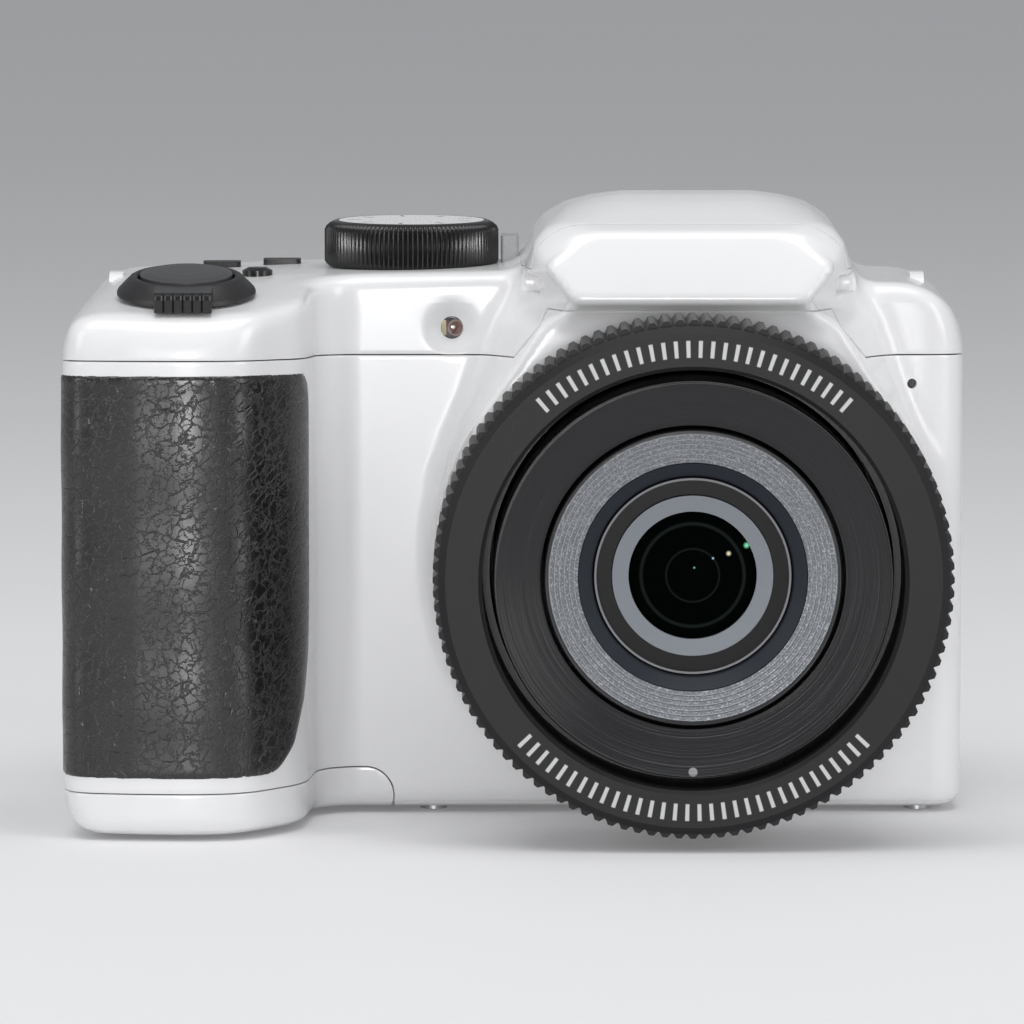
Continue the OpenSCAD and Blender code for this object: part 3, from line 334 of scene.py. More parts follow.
form = bmesh.new()
for v in points:
    form.verts.new(v)
form.verts.ensure_lookup_table()
for q in quads:
    form.faces.new([form.verts[i] for i in q])
form.normal_update()


def slit(at, normal, low=(-99, -99, -99), high=(99, 99, 99)):
    """Two cuts through the part of the form in a box, a seam apart."""
    at, n = Vector(at), Vector(normal).normalized()
    part = set()
    for f in form.faces:
        c = f.calc_center_median()
        if abs((c - at).dot(n)) < 1.5 and all(low[i] < c[i] < high[i] for i in range(3)):
            part.update((f, *f.edges, *f.verts))
    part = list(part)
    for off in (-GAP, GAP):
        part = bmesh.ops.bisect_plane(form, geom=part, dist=0.01, plane_co=at + n * off, plane_no=n)["geom"]


slit((0, -15, SEAM_Z), (0, SEAM_FALL, 1))
slit((0, PARTING, 0), (0, 1, 0))
slit((0, 0, BASE_TOP), (0, 0, 1))
slit((DOOR_PIN[0], 0, 0), (1, 0, 0))
slit((0, 0, DOOR_TOP), (0, 0, 1))
slit((0, DOOR_BACK, 0), (0, 1, 0))
slit((0, FLASH_FRONT, 0), (0, 1, 0))
slit((0, 0, FLASH_FLOOR), (0, 0, 1))
slit((0, HINGE[0], 0), (0, 1, 0))
slit((0, 0, CROWN[-1][1]), (0, 0, 1))
for (x0, z0), (x1, z1) in zip(CROWN, CROWN[1:]):
    for s in (-1, 1):
        slit((s * x0, 0, z0), (s * (z1 - z0), 0, x0 - x1))
# The end of the battery door is round about its pin
for k in range(-3, 9):
    turn = Vector((math.cos(k * 0.2), 0, math.sin(k * 0.2)))
    slit(Vector((DOOR_PIN[0], 0, DOOR_PIN[1])) + turn * DOOR_END, turn, (-43, -99, -1), (-37, 16, 7.2))


def ring_of(u, v, r, n=24):
    around = [2 * math.pi * k / n for k in range(n)]
    return [(u + r * math.cos(a), v + r * math.sin(a)) for a in around]


def box_of(u0, v0, u1, v1, r):
    return outline([(u0, v0, r), (u1, v0, r), (u1, v1, r), (u0, v1, r)], 4)


# Openings: axis across the wall, side of the camera, outline in the other two directions. In order: microphone,
# display, port flap, tripod bush, rocker ring and case screws.
ROCKER = (-57, 27)
holes = [
    (1, -1, ring_of(29.45, 57, 0.65, 16)),
    (1, 1, box_of(-36.1, 7.9, 30.1, 58.1, 2.1)),
    (0, 1, box_of(2.4, 30.9, 12.7, 51.3, 0.3)),
    (2, -1, ring_of(0, 0, 4.8, 32)),
    (1, 1, ring_of(*ROCKER, 9.3, 40)),
]
holes += [(2, -1, ring_of(x, y, 1.9, 20)) for x in (30.7, -33.5) for y in (12, -10)]
# Room for the back edge of the flash cap, which dips behind its hinge when the head is up
SLOT_END = 10.7
back = [(18.5, 8.9), (15, 9.7), (10, 10.3), (5, 10.6), (0, SLOT_END)]
holes.append((2, 1, [(-18.5, HINGE[0]), (18.5, HINGE[0])] + back + [(-x, y) for x, y in back[-2::-1]]))
# Round keys on the back
for x, z, r in ((-47, 55, 3), (-47, 41, 2.6), (-66, 41, 2.6), (-47, 13, 2.6)):
    holes.append((1, 1, ring_of(x, z, r + 0.3)))
for axis, sign, path in holes:
    u, v = [i for i in range(3) if i != axis]
    path = np.array(path)
    low, high = path.min(0) - 1.5, path.max(0) + 1.5
    part = set()
    for f in form.faces:
        c = f.calc_center_median()
        if low[0] < c[u] < high[0] and low[1] < c[v] < high[1] and f.normal[axis] * sign > 0.5:
            part.update((f, *f.edges, *f.verts))
    part = list(part)
    for a, b in zip(path, np.roll(path, -1, 0)):
        at, n = Vector((0, 0, 0)), Vector((0, 0, 0))
        at[u], at[v], n[u], n[v] = a[0], a[1], b[1] - a[1], a[0] - b[0]
        n.normalize()
        part = bmesh.ops.bisect_plane(form, geom=part, dist=0.005, plane_co=at, plane_no=n)["geom"]
form.normal_update()
form.faces.ensure_lookup_table()
form.verts.index_update()
facing = np.array([f.normal for f in form.faces])
corner_at = np.array([v.co for v in form.verts])
loops = [[v.index for v in f.verts] for f in form.faces]
middle = np.array([corner_at[f].mean(0) for f in loops])
X, Y, Z = middle.T
form.free()

# The lens bore is open behind, and the other openings are cleared inside their outlines
solid = ~((np.hypot(X, Z - LENS_Z) < BORE_R + 0.55) & (np.abs(Y - BORE_FLOOR) < 0.7))
for axis, sign, path in holes:
    u, v = [i for i in range(3) if i != axis]
    inside = reach(np.array(path), middle[:, u], middle[:, v]) < 0
    solid &= ~(inside & (facing[:, axis] * sign > 0.5))


def cover(name, keep, body="camera_body", thick=1.7):
    """One of the covers cut from the whole form, given its wall and softened edges."""
    faces = [loops[i] for i in np.flatnonzero(keep & solid)]
    used = np.unique(np.concatenate([np.array(f) for f in faces]))
    new = np.full(len(corner_at), -1)
    new[used] = np.arange(len(used))
    obj = add(name, corner_at[used], [[new[i] for i in f] for f in faces], white, body, [name])
    wall = obj.modifiers.new("wall", "SOLIDIFY")
    wall.thickness, wall.offset, wall.use_rim = thick * MM, -1, True
    rounded(obj, 0.12, 55)


# Front and rear covers.
# Two deep white mouldings that meet on an upright plane behind the lens. The front one carries the lens and the
# grip, the rear one the display and the keys, and screws from below hold them together.


def in_crown(g):
    half = np.interp(Z, [z for x, z in CROWN], [x for x, z in CROWN])
    return (Y < -13.2) & (Z < CROWN[-1][1] + g) & (np.abs(X) < half + g * 1.28)


def in_door(g):
    end = (X < DOOR_PIN[0]) | (np.hypot(X - DOOR_PIN[0], Z - DOOR_PIN[1]) < DOOR_END + g)
    return end & (Z < DOOR_TOP + g) & (Y < DOOR_BACK + g)


wall = ((Z < seam(Y) - GAP) | in_crown(-GAP)) & (Z > BASE_TOP + GAP) & ~in_door(GAP)
cover("front_cover", wall & (Y < PARTING - GAP))
cover("rear_cover", wall & (Y > PARTING + GAP))

# Top cover.
# One white moulding over the whole width, with the hump in the middle and the seats of the dial, the lever and
# the keys. It drops over the other two covers and hooks onto them.


def in_flash(g):
    return (np.abs(X) < 23) & (Y > FLASH_FRONT - g) & (Y < HINGE[0] + g) & (Z > FLASH_FLOOR - g)


# The flash cap is found by its place over the hump, because the plate to the left of it is nearly as high
over = Z > FLASH_FLOOR + 0.9 * (np.abs(X) > 22)
lid = (Z > seam(Y) + GAP) & ~in_crown(GAP)
cover("top_cover", lid & ~(in_flash(GAP) & over), thick=1.2)

# Base plate.
# A flat white moulding under the body, let in flush between the covers and held by four screws. The tripod bush
# comes through it under the lens.
cover("base_plate", (Z < BASE_TOP - GAP) & (X > -38.6), thick=1.2)

# Battery door.
# The white foot of the grip, moulded in one piece with its rounded end. It swings down on a pin at that end and
# carries the contact that joins the two cells.
cover("battery_door", in_door(-GAP), "door")

# Flash cap.
# The top of the flip-up head, a white moulding that closes flush with the crown of the hump. It is hinged at
# its back edge, and its front edge meets the nose over the lens.
cover("flash_housing", in_flash(-GAP) & over, "flash_head")

# Grip skin.
# A sheet of black rubber with a leather grain, glued round the grip, with painted shade darkening the creases
# of the grain. It stands a little proud of the white cover under it, and its edges are rounded by the mould.


def rubber_look(p):
    shift = p.noise(560.0, 3.0, Roughness=0.6) * 0.0028
    bent = p.node("ShaderNodeVectorMath", {0: p, 1: shift}, operation="ADD")
    cells = bent.node("ShaderNodeTexVoronoi", {"Vector": bent, "Scale": 640.0}, feature="DISTANCE_TO_EDGE")
    crease = bent.noise(620.0, 1.0).off(0.5).step(0.0, 0.022)
    # Painted shade: the cells are a little lighter than the creases between them
    grain_and_crease_shade = cells.step(0.0, 0.08) * (crease * 0.6 + 0.4)
    fine = p.noise(5200.0, 2.0)
    return {
        "Base Color": grain_and_crease_shade.mix((0.002, 0.002, 0.002, 1), (0.006, 0.006, 0.0065, 1)),
        "Roughness": fine * 0.1 + grain_and_crease_shade * -0.05 + 0.28,
        "bump": (grain_and_crease_shade + fine * 0.03, 0.5, 0.00016),
    }


SKIN_FACE = outline([
    (-95, 8), (-53.5, 8, 3), (-51.2, 11.5, 5), (-50, 17, 10), (-49.2, 26, 20), (-48.5, 40, 30), (-48.4, 51, 10),
    (-48.65, 54.3, 10), (-49.3, 57.5, 8), (-50.3, 61, 0.8), (-95, 61)])
SKIN_SIDE = outline([(-60, 8), (0.5, 8, 5), (0.5, 58.3, 5), (-60, 61.3)])
SKIN_PLAN = outline([(-95, -60), (-40, -60), (-40, -27), (-70, -27), (-70, 0.5), (-95, 0.5)])


def skin(x, y, z):
    """A sheet from 0.9 mm under the shell to 0.22 mm over it, inside three outlines."""
    d = shell(x, y, z)
    region = both(both(reach(SKIN_FACE, x, z), reach(SKIN_SIDE, y, z), 0.3), reach(SKIN_PLAN, x, y), 0.3)
    return both(np.maximum(d - 0.22, -d - 0.9), region, 0.7)


p, q = surface(skin, (-84.5, -44, 6), (-47, 2, 62.6), 0.55)
rubber = finish("grip_rubber", rubber_look, Specular_IOR_Level=0.75)
add("grip_skin", p, q, rubber, "camera_body", ["grip_skin"])

# Lens ring.
# A black moulding fixed round the lens mount, ribbed on the outside so that it can be gripped. Light ticks are
# printed on two arcs of its front face.


def apart(u, v):
    """Distance over two directions."""
    return (u * u + v * v).math("SQRT")


def turns_of(u, v):
    """Angle in turns over two directions."""
    return v.math("ARCTAN2", u) / (2 * math.pi)


def polar(p):
    """Radius in millimetres, angle in turns and depth in millimetres, on the lens axis."""
    x, y, z = p.split()
    up = z - LENS_Z * MM
    return apart(x, up) * 1000.0, turns_of(x, up), y * 1000.0


def ring_look(p):
    r, turn, y = polar(p)
    front = (y + 50.0).step(0.6, -0.4)
    tick = (turn * 120.0).math("FRACT").off(0.5).step(0.2, 0.12)
    ends = turn.off(0.25).step(0.115, 0.114) + turn.off(-0.25).step(0.135, 0.134)
    band = r.off(29.6).step(1.15, 1.0)
    mark = tick * ends * band * front
    fine = p.noise(3000.0, 2.0)
    return {
        "Base Color": mark.mix((0.010, 0.010, 0.011, 1), (0.55, 0.55, 0.55, 1)),
        "Roughness": fine * 0.16 + 0.38,
        "bump": (fine, 0.12, 0.00008),
    }


ring_black = finish("ring_black", ring_look, Specular_IOR_Level=0.25)
node["lens_ring"].data.materials.clear()
node["lens_ring"].data.materials.append(ring_black)
rounded(node["lens_ring"], 0.08, 35)

# Barrels.
# Two black tubes that slide out of the camera, one inside the other, with a satin finish that shows fine
# turning marks. A light dot on the face of the outer one marks the bottom.


def sweep(turns, n):
    """Faces round a closed section of n points, repeated turns times."""
    return [(i * n + k, i * n + (k + 1) % n, (i + 1) % turns * n + (k + 1) % n, (i + 1) % turns * n + k)
            for i in range(turns) for k in range(n)]


def lathe(name, section, material, body, stands_for, turns=192):
    """A closed section of radius and depth, swept round the lens axis."""
    a = np.linspace(0, 2 * math.pi, turns, endpoint=False)
    verts = [(r * math.cos(t), y, LENS_Z + r * math.sin(t)) for t in a for r, y in section]
    obj = add(name, verts, sweep(turns, len(section)), material, body, stands_for)
    split = obj.modifiers.new("edges", "EDGE_SPLIT")
    split.split_angle = math.radians(22)
    return obj


def satin_look(p):
    r, turn, y = polar(p)
    marks = p.node("ShaderNodeCombineXYZ", {0: r * 6.0, 1: y * 6.0, 2: turn * 2.0}).noise(1.0, 3.0)
    x, _, z = p.split()
    spot = apart(x, z - (LENS_Z - 24.75) * MM) * 1000.0
    dot = spot.step(0.62, 0.5) * (y + 47.6).step(0.1, -0.1)
    black = marks.mix((0.010, 0.010, 0.011, 1), (0.020, 0.020, 0.022, 1))
    return {
        "Base Color": dot.mix(black, (0.28, 0.28, 0.29, 1)),
        "Roughness": p.noise(2600.0, 2.0) * 0.1 + 0.26,
        "bump": (marks, 0.55, 0.00012),
    }


satin = finish("barrel_black", satin_look, Specular_IOR_Level=0.35)
lathe("outer_barrel", [
    (25.0, -48.6), (25.35, -48.55), (25.5, -48.2), (25.5, -11), (23.7, -11), (23.7, -44), (19.5, -44),
    (19.5, -46.4), (24.2, -48.2), (24.7, -48.45)], satin, "outer_barrel", ["outer_barrel"])
lathe("inner_barrel", [
    (18.5, -47.0), (18.85, -46.95), (19.0, -46.7), (19.0, -13), (17.2, -13), (17.2, -43), (14.6, -43),
    (14.6, -44.6), (18.45, -44.6)], satin, "inner_barrel", ["inner_barrel"])

# Grooved ring.
# A grey ring with a metallic fleck round the front glass, moulded with six shallow steps against stray light
# and pressed into the inner barrel. A thin lighter line at the edge of each step is a painted highlight.
GROOVES = (14.7, 18.48)


def sparkle_look(p):
    r = polar(p)[0]
    fleck = p.noise(4200.0, 3.0).step(0.45, 0.75)
    # Painted highlight: a thin lighter line at the rising edge of each step
    painted_step_highlight = ((r - GROOVES[0]) / 0.63).math("FRACT").off(0.8).step(0.12, 0.04)
    return {
        "Base Color": (fleck * 0.8 + painted_step_highlight * 0.6).mix((0.13, 0.138, 0.152, 1), (0.42, 0.435, 0.46, 1)),
        "Roughness": fleck * -0.15 + 0.5,
        "bump": (fleck, 0.25, 0.00006),
    }


sparkle = finish("grey_metallic", sparkle_look, Metallic=0.35)
steps = [(GROOVES[0], -44.62)]
pitch = (GROOVES[1] - GROOVES[0]) / 6
for k in range(6):
    depth = -46.05 - 0.13 * k
    for along, lift in ((0, 0.0), (0.8, -0.1), (0.8, 0.12), (1, 0.12)):
        steps.append((GROOVES[0] + pitch * (k + along), depth + lift))
steps.append((GROOVES[1], -44.62))
lathe("front_groove_ring", steps, sparkle, "inner_barrel", ["front_groove_ring"])

# Front retainer.
# A black threaded ring that holds the front glass in the inner barrel. It steps down to the glass in a slate
# bevel, a fine bright line that is a painted highlight, and a broad grey band.


def retainer_look(p):
    r = polar(p)[0]
    # Painted highlight: a fine lighter ring line round the glass
    bright = r.off(12.45).step(0.17, 0.1)
    grey = r.off(9.25).step(1.08, 1.02)
    fine = p.noise(3600.0, 3.0)
    slate = r.step(12.75, 12.95) * 0.8
    base = slate.mix(grey.mix((0.004, 0.004, 0.005, 1), (0.22, 0.235, 0.26, 1)), (0.035, 0.04, 0.05, 1))
    base = bright.mix(base, (0.2, 0.2, 0.21, 1))
    return {
        "Base Color": base,
        "Roughness": fine * 0.15 + 0.3,
        "bump": (fine, 0.1, 0.00006),
    }


retainer = finish("retainer_black", retainer_look, Specular_IOR_Level=0.15)
lathe("front_retainer", [
    (14.58, -46.0), (14.58, -43.02), (8.2, -43.02), (8.2, -43.8), (10.3, -44.3), (10.4, -43.6), (12.3, -43.6),
    (12.3, -44.7), (12.6, -44.7), (12.8, -44.3)], retainer, "inner_barrel", ["front_retainer"])

# Front glass.
# A domed lens with a dark coating, held by the retainer. The glasses behind it are not drawn: faint lighter
# rings painted for their rims are a painted reflection, and a few small tinted glints are painted on and glow.


def glass_look(p):
    r = polar(p)[0]
    x, _, z = p.split()
    # Painted reflection: faint lighter rings stand for the rims of the glasses behind
    painted_rim_rings = r.off(6.6).step(0.35, 0.05) * 0.6 + r.off(3.4).step(0.2, 0.03) * 0.45
    # Painted glints: small tinted spots that glow through the emission colour
    painted_glow = (0, 0, 0, 1)
    for u, v, size, tint in (
            (6.9, 3.8, 0.5, (0.25, 0.95, 0.55, 1)), (4.6, 2.8, 0.42, (0.95, 0.9, 0.6, 1)),
            (2.6, 2.2, 0.22, (0.45, 0.7, 0.9, 1)), (0.2, 1.0, 0.2, (0.2, 0.6, 0.55, 1))):
        painted_glint = apart(x * 1000.0 - u, z * 1000.0 - (LENS_Z + v)).step(size, 0.0)
        painted_glow = painted_glint.mix(painted_glow, tint)
    return {
        "Base Color": painted_rim_rings.mix((0.001, 0.0016, 0.0016, 1), (0.016, 0.022, 0.02, 1)),
        "Roughness": p.noise(180.0, 1.0) * 0.02 + 0.02,
        "Emission Color": painted_glow,
    }


# The emission only makes the painted glints glow
glass = finish("coated_glass", glass_look, Specular_IOR_Level=0.0, Emission_Strength=0.9)
dome = [(8.18 * math.sin(k * math.pi / 24), -42.9 - math.cos(k * math.pi / 24)) for k in range(13)]
lathe("front_lens", dome + [(8.18, -42.2), (0.001, -42.2)], glass, "inner_barrel", ["front_lens"], 96)

# Lens tube and drive.
# The fixed black tube in the camera, with the cam ring, the gear and motor that turn it, and the rods that
# guide the rear glass in its cell. They are moulded or plated, and keep their CAD shapes.


def plain(name, dark, light, rough, bump=0.1, **more):
    """A finish that varies a little between two colours, as a moulding or a plated piece does."""
    def look(p):
        fine = p.noise(1800.0, 3.0)
        return {
            "Base Color": fine.mix((*dark, 1), (*light, 1)),
            "Roughness": fine * 0.14 + rough,
            "bump": (fine, bump, 0.00006),
        }
    return finish(name, look, **more)


def dress(material, *names):
    """Gives a finish and softened edges to pieces that keep their CAD shape."""
    for name in names:
        node[name].data.materials.clear()
        node[name].data.materials.append(material)
        rounded(node[name], 0.1, 50)


black = plain("black_plastic", (0.012, 0.012, 0.013), (0.024, 0.024, 0.025), 0.34)
clear = plain(
    "clear_plastic", (0.75, 0.78, 0.8), (0.85, 0.87, 0.9), 0.05, 0.02, Transmission_Weight=0.9, IOR=1.49)
steel = plain("steel", (0.42, 0.42, 0.44), (0.55, 0.55, 0.57), 0.26, 0.1, Metallic=1.0)
grey = plain("grey_plastic", (0.34, 0.35, 0.36), (0.40, 0.41, 0.42), 0.35)
dress(black, "lens_tube", "lens_base", "rear_lens_cell")
dress(grey, "cam_ring", "drive_gear")
dress(steel, "guide_rods", "zoom_motor")
dress(clear, "rear_lens")

# Focus lamp.
# A clear moulded dome pressed into a dish of the top cover from behind, with a lamp and a small flat reflector
# showing through it. A small white glint on the lamp is a painted highlight.


def lamp_look(p):
    x, y, z = p.split()
    u, v = x * 1000.0 - LAMP_X, z * 1000.0 - LAMP_Z
    bar = u.off(-1.05).step(0.36, 0.26) * v.off(0.0).step(1.05, 0.95)
    cap = u.off(-1.55).step(0.16, 0.1) * v.off(0.0).step(0.8, 0.7)
    bulb = apart(u - 0.55, v)
    edge = bulb.off(0.98).step(0.2, 0.05)
    # Painted highlight: a small white glint on the lamp
    painted_glint = apart(u - 0.2, v - 0.1).step(0.3, 0.12)
    base = v.off(0.0).step(0.5, 1.7).mix((0.10, 0.085, 0.085, 1), (0.012, 0.015, 0.025, 1))
    base = bulb.step(1.0, 0.5).mix(base, (0.16, 0.075, 0.065, 1))
    base = (edge * 0.6).mix(base, (0.42, 0.30, 0.26, 1))
    base = bar.mix(base, (0.50, 0.42, 0.26, 1))
    base = cap.mix(base, (0.8, 0.8, 0.8, 1))
    base = apart(u, v).step(1.72, 1.9).mix(base, (0.02, 0.021, 0.026, 1))
    return {
        "Base Color": painted_glint.mix(base, (0.85, 0.84, 0.82, 1)),
        "Roughness": p.noise(700.0, 2.0) * 0.04 + 0.05,
    }


lamp_face = finish("lamp_window", lamp_look, Coat_Weight=1.0, Coat_Roughness=0.02)
dome = [(2.0 * math.sin(k / 16 * math.pi), -13.1 - 1.45 * math.cos(k / 16 * math.pi)) for k in range(9)]
dome.append((2.0, -12.2))
n = 40
verts = [(LAMP_X + r * math.cos(a), y, LAMP_Z + r * math.sin(a))
         for r, y in dome for a in np.linspace(0, 2 * math.pi, n, endpoint=False)]
faces = [(i * n + k, i * n + (k + 1) % n, i * n + n + (k + 1) % n, i * n + n + k)
         for i in range(len(dome) - 1) for k in range(n)]
add("lamp_lens", verts, faces, lamp_face, "camera_body", ["lamp_lens"])
dress(clear, "lamp_led")

# Mode dial.
# A black moulding with a knurled edge that turns on a post in the top cover. A bright disc with nine strokes is
# let into its top.


def spun(name, section, material, body, stands_for, at, lean=0.0, ribs=0, turns=128):
    """A section of radius, height and rib depth swept round an upright axis that may lean forward."""
    verts = []
    for a in np.linspace(0, 2 * math.pi, turns, endpoint=False):
        dip = 0.5 - 0.5 * math.cos(ribs * a)
        for r, z, depth in section:
            x, y = (r - depth * dip) * math.cos(a), (r - depth * dip) * math.sin(a)
            verts.append((at[0] + x, at[1] + y * math.cos(lean) - z * math.sin(lean),
                          at[2] + y * math.sin(lean) + z * math.cos(lean)))
    obj = add(name, verts, sweep(turns, len(section)), material, body, stands_for)
    split = obj.modifiers.new("edges", "EDGE_SPLIT")
    split.split_angle = math.radians(40)


DIAL = (-36.5, 2, 71.6)


def disc_look(p):
    x, y, z = p.split()
    u, v = x * 1000.0 - DIAL[0], y * 1000.0 - DIAL[1]
    tick = (turns_of(u, v) * 9.0).math("FRACT").off(0.5).step(0.05, 0.035)
    tick = tick * apart(u, v).off(7.6).step(1.0, 0.9)
    return {
        "Base Color": tick.mix((0.86, 0.86, 0.87, 1), (0.03, 0.03, 0.03, 1)),
        "Roughness": p.noise(2400.0, 2.0) * 0.1 + 0.22,
    }


dial_top = finish("dial_disc", disc_look)
gloss = plain("gloss_black", (0.009, 0.009, 0.010), (0.015, 0.015, 0.016), 0.14, 0.03)
spun("mode_dial", [
    (3, -0.2, 0), (11, -0.2, 0), (11.4, 0.1, 0.3), (11.6, 0.5, 0.36), (11.6, 4.6, 0.36), (11.35, 5.1, 0.32),
    (10.95, 5.45, 0.2), (10.5, 5.7, 0.06), (10.1, 5.85, 0), (9.75, 5.85, 0), (9.7, 5.3, 0), (3, 5.3, 0)],
    gloss, "dial", ["mode_dial"], DIAL, ribs=110, turns=880)
dress(dial_top, "dial_cap")

# Zoom lever.
# A bevelled black ring round the shutter button with a glossy ribbed tab in front, moulded in one piece. It is
# sprung to the middle and leans with the top of the grip.
LEVER, LEAN = (-65.3, -27, 69.49), math.radians(8)
spun("lever_ring", [
    (6.3, 0.6, 0), (6.3, 2.5, 0), (6.5, 2.7, 0), (7.0, 2.7, 0), (7.3, 2.55, 0), (8.85, 0.95, 0), (9.0, 0.65, 0),
    (9.0, 0.3, 0), (8.8, 0.2, 0), (4.4, 0.2, 0)], black, "zoom_lever", ["zoom_lever"], LEVER, LEAN)
# The front edge of the tab is waved into six ribs, and its top edge is rolled back
rim = [(-3.7 + 7.4 * k / 72, -11.35 - 0.35 * abs(math.sin(math.pi * 6 * k / 72)) ** 0.6) for k in range(73)]
rim += [(3.7, -6.7), (-3.7, -6.7)]
verts = []
for x, y in rim:
    for z, back in ((0.2, 0.0), (1.9, 0.0), (2.45, 0.25), (2.7, 0.8)):
        far = y + back * (y < -8)
        verts.append((LEVER[0] + x, LEVER[1] + far * math.cos(LEAN) - z * math.sin(LEAN),
                      LEVER[2] + far * math.sin(LEAN) + z * math.cos(LEAN)))
n = len(rim)
faces = [((i + 1) % n * 4 + k, (i + 1) % n * 4 + k + 1, i * 4 + k + 1, i * 4 + k)
         for i in range(n) for k in range(3)]
faces += [tuple(i * 4 + 3 for i in range(n)), tuple(i * 4 for i in range(n))[::-1]]
rounded(add("lever_tab", verts, faces, gloss, "zoom_lever", ["zoom_lever"], smooth=False), 0.05, 30)

# Top keys.
# The shutter button and the keys behind it are dark mouldings on springs, let into the top cover. The
# microphone is a black disc behind its hole in the front.
key_grey = plain("key_grey", (0.045, 0.045, 0.047), (0.06, 0.06, 0.063), 0.3)
dress(key_grey, "shutter_button")
dress(gloss, "power_button")
dress(black, "drive_button", "exposure_button", "microphone")

# Flash.
# Under the cap are a bright folded reflector behind a clear window, a glass tube across it and a steel hinge
# pin. The key that releases the head is a grey moulding at the left of the hump.
bright = plain("bright_metal", (0.72, 0.72, 0.74), (0.82, 0.82, 0.84), 0.16, 0.05, Metallic=1.0)
# The roll round the hinge lies just under the crown of the hump and shows between the cap and the top cover
along, turns = np.linspace(-18.4, 18.4, 47), 64
x, y, z = np.meshgrid(
    along, np.linspace(HINGE[0], SLOT_END, 10), np.linspace(HINGE[1], 83, 300), indexing="ij")
crown = np.where(shell(x, y, z) < 0, z, HINGE[1]).max(2)
roll = np.maximum(np.hypot(y[:, :, 0] - HINGE[0], crown - HINGE[1]).min(1) - 0.25, 0.3)
verts = [(x, HINGE[0] + r * math.cos(a), HINGE[1] + r * math.sin(a))
         for a in np.linspace(0, 2 * math.pi, turns, endpoint=False) for x, r in zip(along, roll)]
n = len(along)
faces = [(i * n + k, i * n + k + 1, (i + 1) % turns * n + k + 1, (i + 1) % turns * n + k)
         for i in range(turns) for k in range(n - 1)]
faces += [[i * n for i in range(turns)], [i * n + n - 1 for i in range(turns)][::-1]]
add("flash_roll", verts, faces, white, "flash_head", ["flash_housing"])
dress(bright, "flash_reflector")
dress(clear, "flash_window", "flash_tube")
dress(steel, "flash_pin")
dress(grey, "flash_button")
dress(black, "flash_capacitor")

# Display and sensor.
# A dark panel under a hard clear window that is glued into the rear cover, and the image sensor, which has the
# same dark glass.
screen = plain("screen_glass", (0.004, 0.004, 0.005), (0.008, 0.008, 0.010), 0.05, 0.01, Coat_Weight=1.0)
dress(screen, "lcd_panel", "lcd_window", "image_sensor")

# Rear keys.
# Grey mouldings that press through the rear cover onto rubber domes. The rocker ring tips on its dome round the
# set key, and four light dots show its directions.


def rocker_look(p):
    x, y, z = p.split()
    u, v = x * 1000.0 - ROCKER[0], z * 1000.0 - ROCKER[1]
    dot = (turns_of(u, v) * 4.0 + 0.5).math("FRACT").off(0.5).step(0.06, 0.045)
    dot = dot * apart(u, v).off(6.7).step(0.5, 0.4)
    fine = p.noise(1800.0, 3.0)
    return {
        "Base Color": dot.mix(fine.mix((0.34, 0.35, 0.36, 1), (0.40, 0.41, 0.42, 1)), (0.85, 0.85, 0.85, 1)),
        "Roughness": fine * 0.14 + 0.3,
        "bump": (fine, 0.1, 0.00006),
    }


rocker_grey = finish("rocker_grey", rocker_look)
dress(rocker_grey, "control_ring")
dress(grey, "record_button", "menu_button", "play_button", "display_button", "set_button")

# Power, ports and boards.
# Two wrapped cells in a black holder over the door, pressed metal contacts and sockets, green boards on a steel
# frame, and the fastenings underneath. The flap over the socket and the strap lugs are white mouldings.
wrap = plain("cell_wrap", (0.16, 0.165, 0.17), (0.22, 0.225, 0.23), 0.25)
board = plain("board", (0.015, 0.10, 0.05), (0.03, 0.16, 0.08), 0.4)
dress(wrap, "battery_cells")
dress(black, "battery_holder")
dress(steel, "battery_contacts", "door_contact", "card_socket", "usb_socket")
dress(steel, "chassis", "tripod_bush", "case_screws")
dress(board, "sensor_board", "main_board")
dress(white, "port_cover", "strap_lug_left", "strap_lug_right")

# Studio.
# A pale floor that is also the backdrop, a broad light over the camera, softer ones at the sides and a small
# one in front. The view looks down a little, as in the photograph.


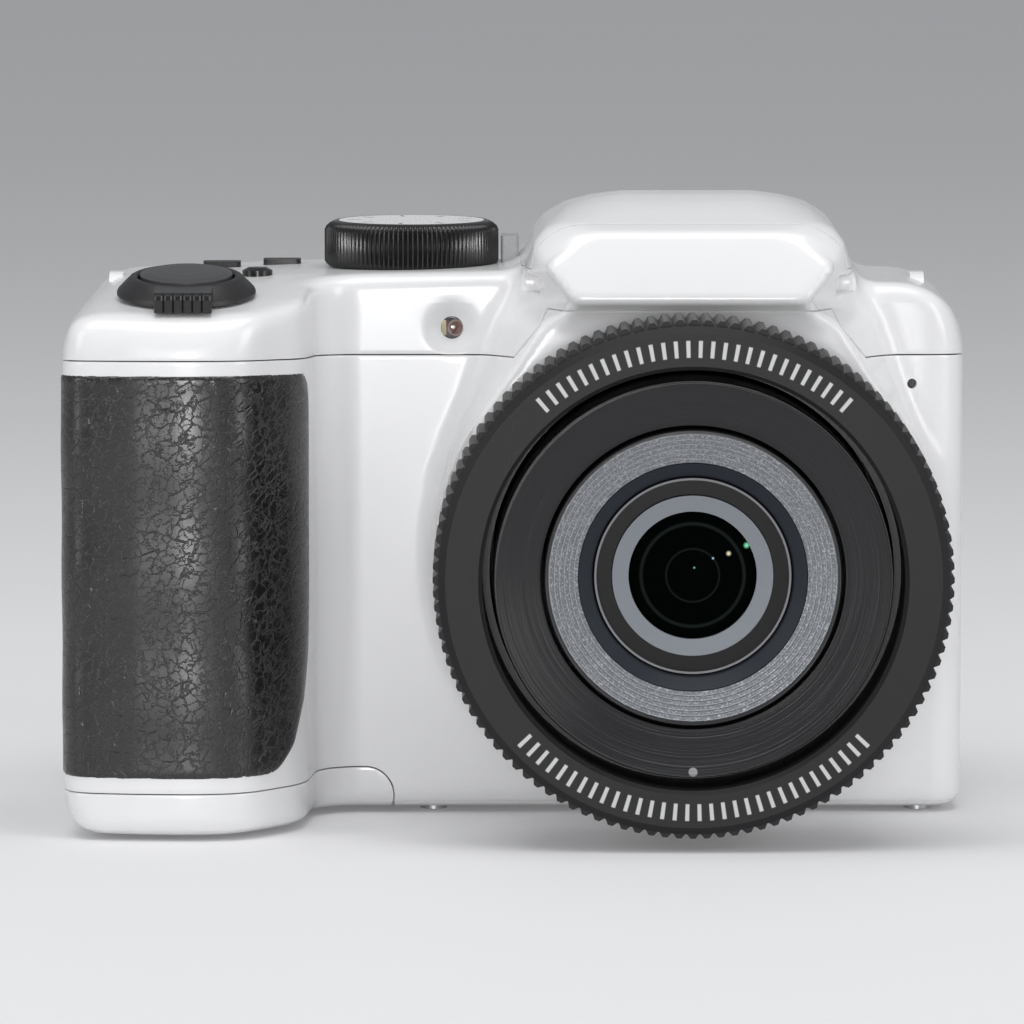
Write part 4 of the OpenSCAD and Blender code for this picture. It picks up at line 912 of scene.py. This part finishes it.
def floor_look(p):
    ray = p.node("ShaderNodeLightPath", {}).every()
    seen = ray["Is Camera Ray"] + ray["Is Glossy Ray"] + ray["Is Transmission Ray"]
    return {
        "Base Color": p.noise(3.0).mix((0.72, 0.72, 0.73, 1), (0.75, 0.75, 0.76, 1)),
        "Emission Color": seen.math("MINIMUM", 1.0).mix((0, 0, 0, 1), (0.12, 0.12, 0.122, 1)),
    }


floor = finish("floor", floor_look, Roughness=0.7, Emission_Strength=1.0)
mesh = bpy.data.meshes.new("floor")
mesh.from_pydata([(-4, -4, 0), (4, -4, 0), (4, 4, 0), (-4, 4, 0)], [], [(0, 1, 2, 3)])
mesh.materials.append(floor)
ground = bpy.data.objects.new("floor", mesh)
bpy.context.scene.collection.objects.link(ground)

scene = bpy.context.scene
world = bpy.data.worlds.new("studio")
world.use_nodes = True
world.node_tree.nodes["Background"].inputs["Color"].default_value = (0.9, 0.92, 0.95, 1)
world.node_tree.nodes["Background"].inputs["Strength"].default_value = 0.3
scene.world = world
scene.view_settings.view_transform = "Standard"
TARGET = Vector((-0.0231, -0.001, 0.03855))


def lamp(name, at, size, power):
    light = bpy.data.lights.new(name, "AREA")
    light.shape, light.size, light.size_y, light.energy = "RECTANGLE", size[0], size[1], power
    obj = bpy.data.objects.new(name, light)
    obj.location = at
    obj.rotation_euler = (TARGET - Vector(at)).to_track_quat("-Z", "Y").to_euler()
    scene.collection.objects.link(obj)


lamp("over", (-0.05, -0.15, 0.8), (0.8, 0.5), 3.9)
lamp("left", (-0.8, -0.4, 0.35), (0.3, 0.7), 1.7)
lamp("right", (0.7, -0.5, 0.3), (0.3, 0.6), 2.0)
lamp("front", (-0.06, -1.15, 0.1), (0.24, 0.24), 3.9)

FOCAL_PX, FRAME_PX = 7490, 1024
lens = bpy.data.cameras.new("photo")
lens.sensor_width, lens.lens = 36, 36 * FOCAL_PX / FRAME_PX
lens.clip_start, lens.clip_end = 0.01, 20
shot = bpy.data.objects.new("photo", lens)
tilt = math.radians(6)
shot.location = TARGET + Vector((0, -math.cos(tilt), math.sin(tilt)))
shot.rotation_euler = (math.pi / 2 - tilt, 0, 0)
scene.collection.objects.link(shot)
scene.camera = shot
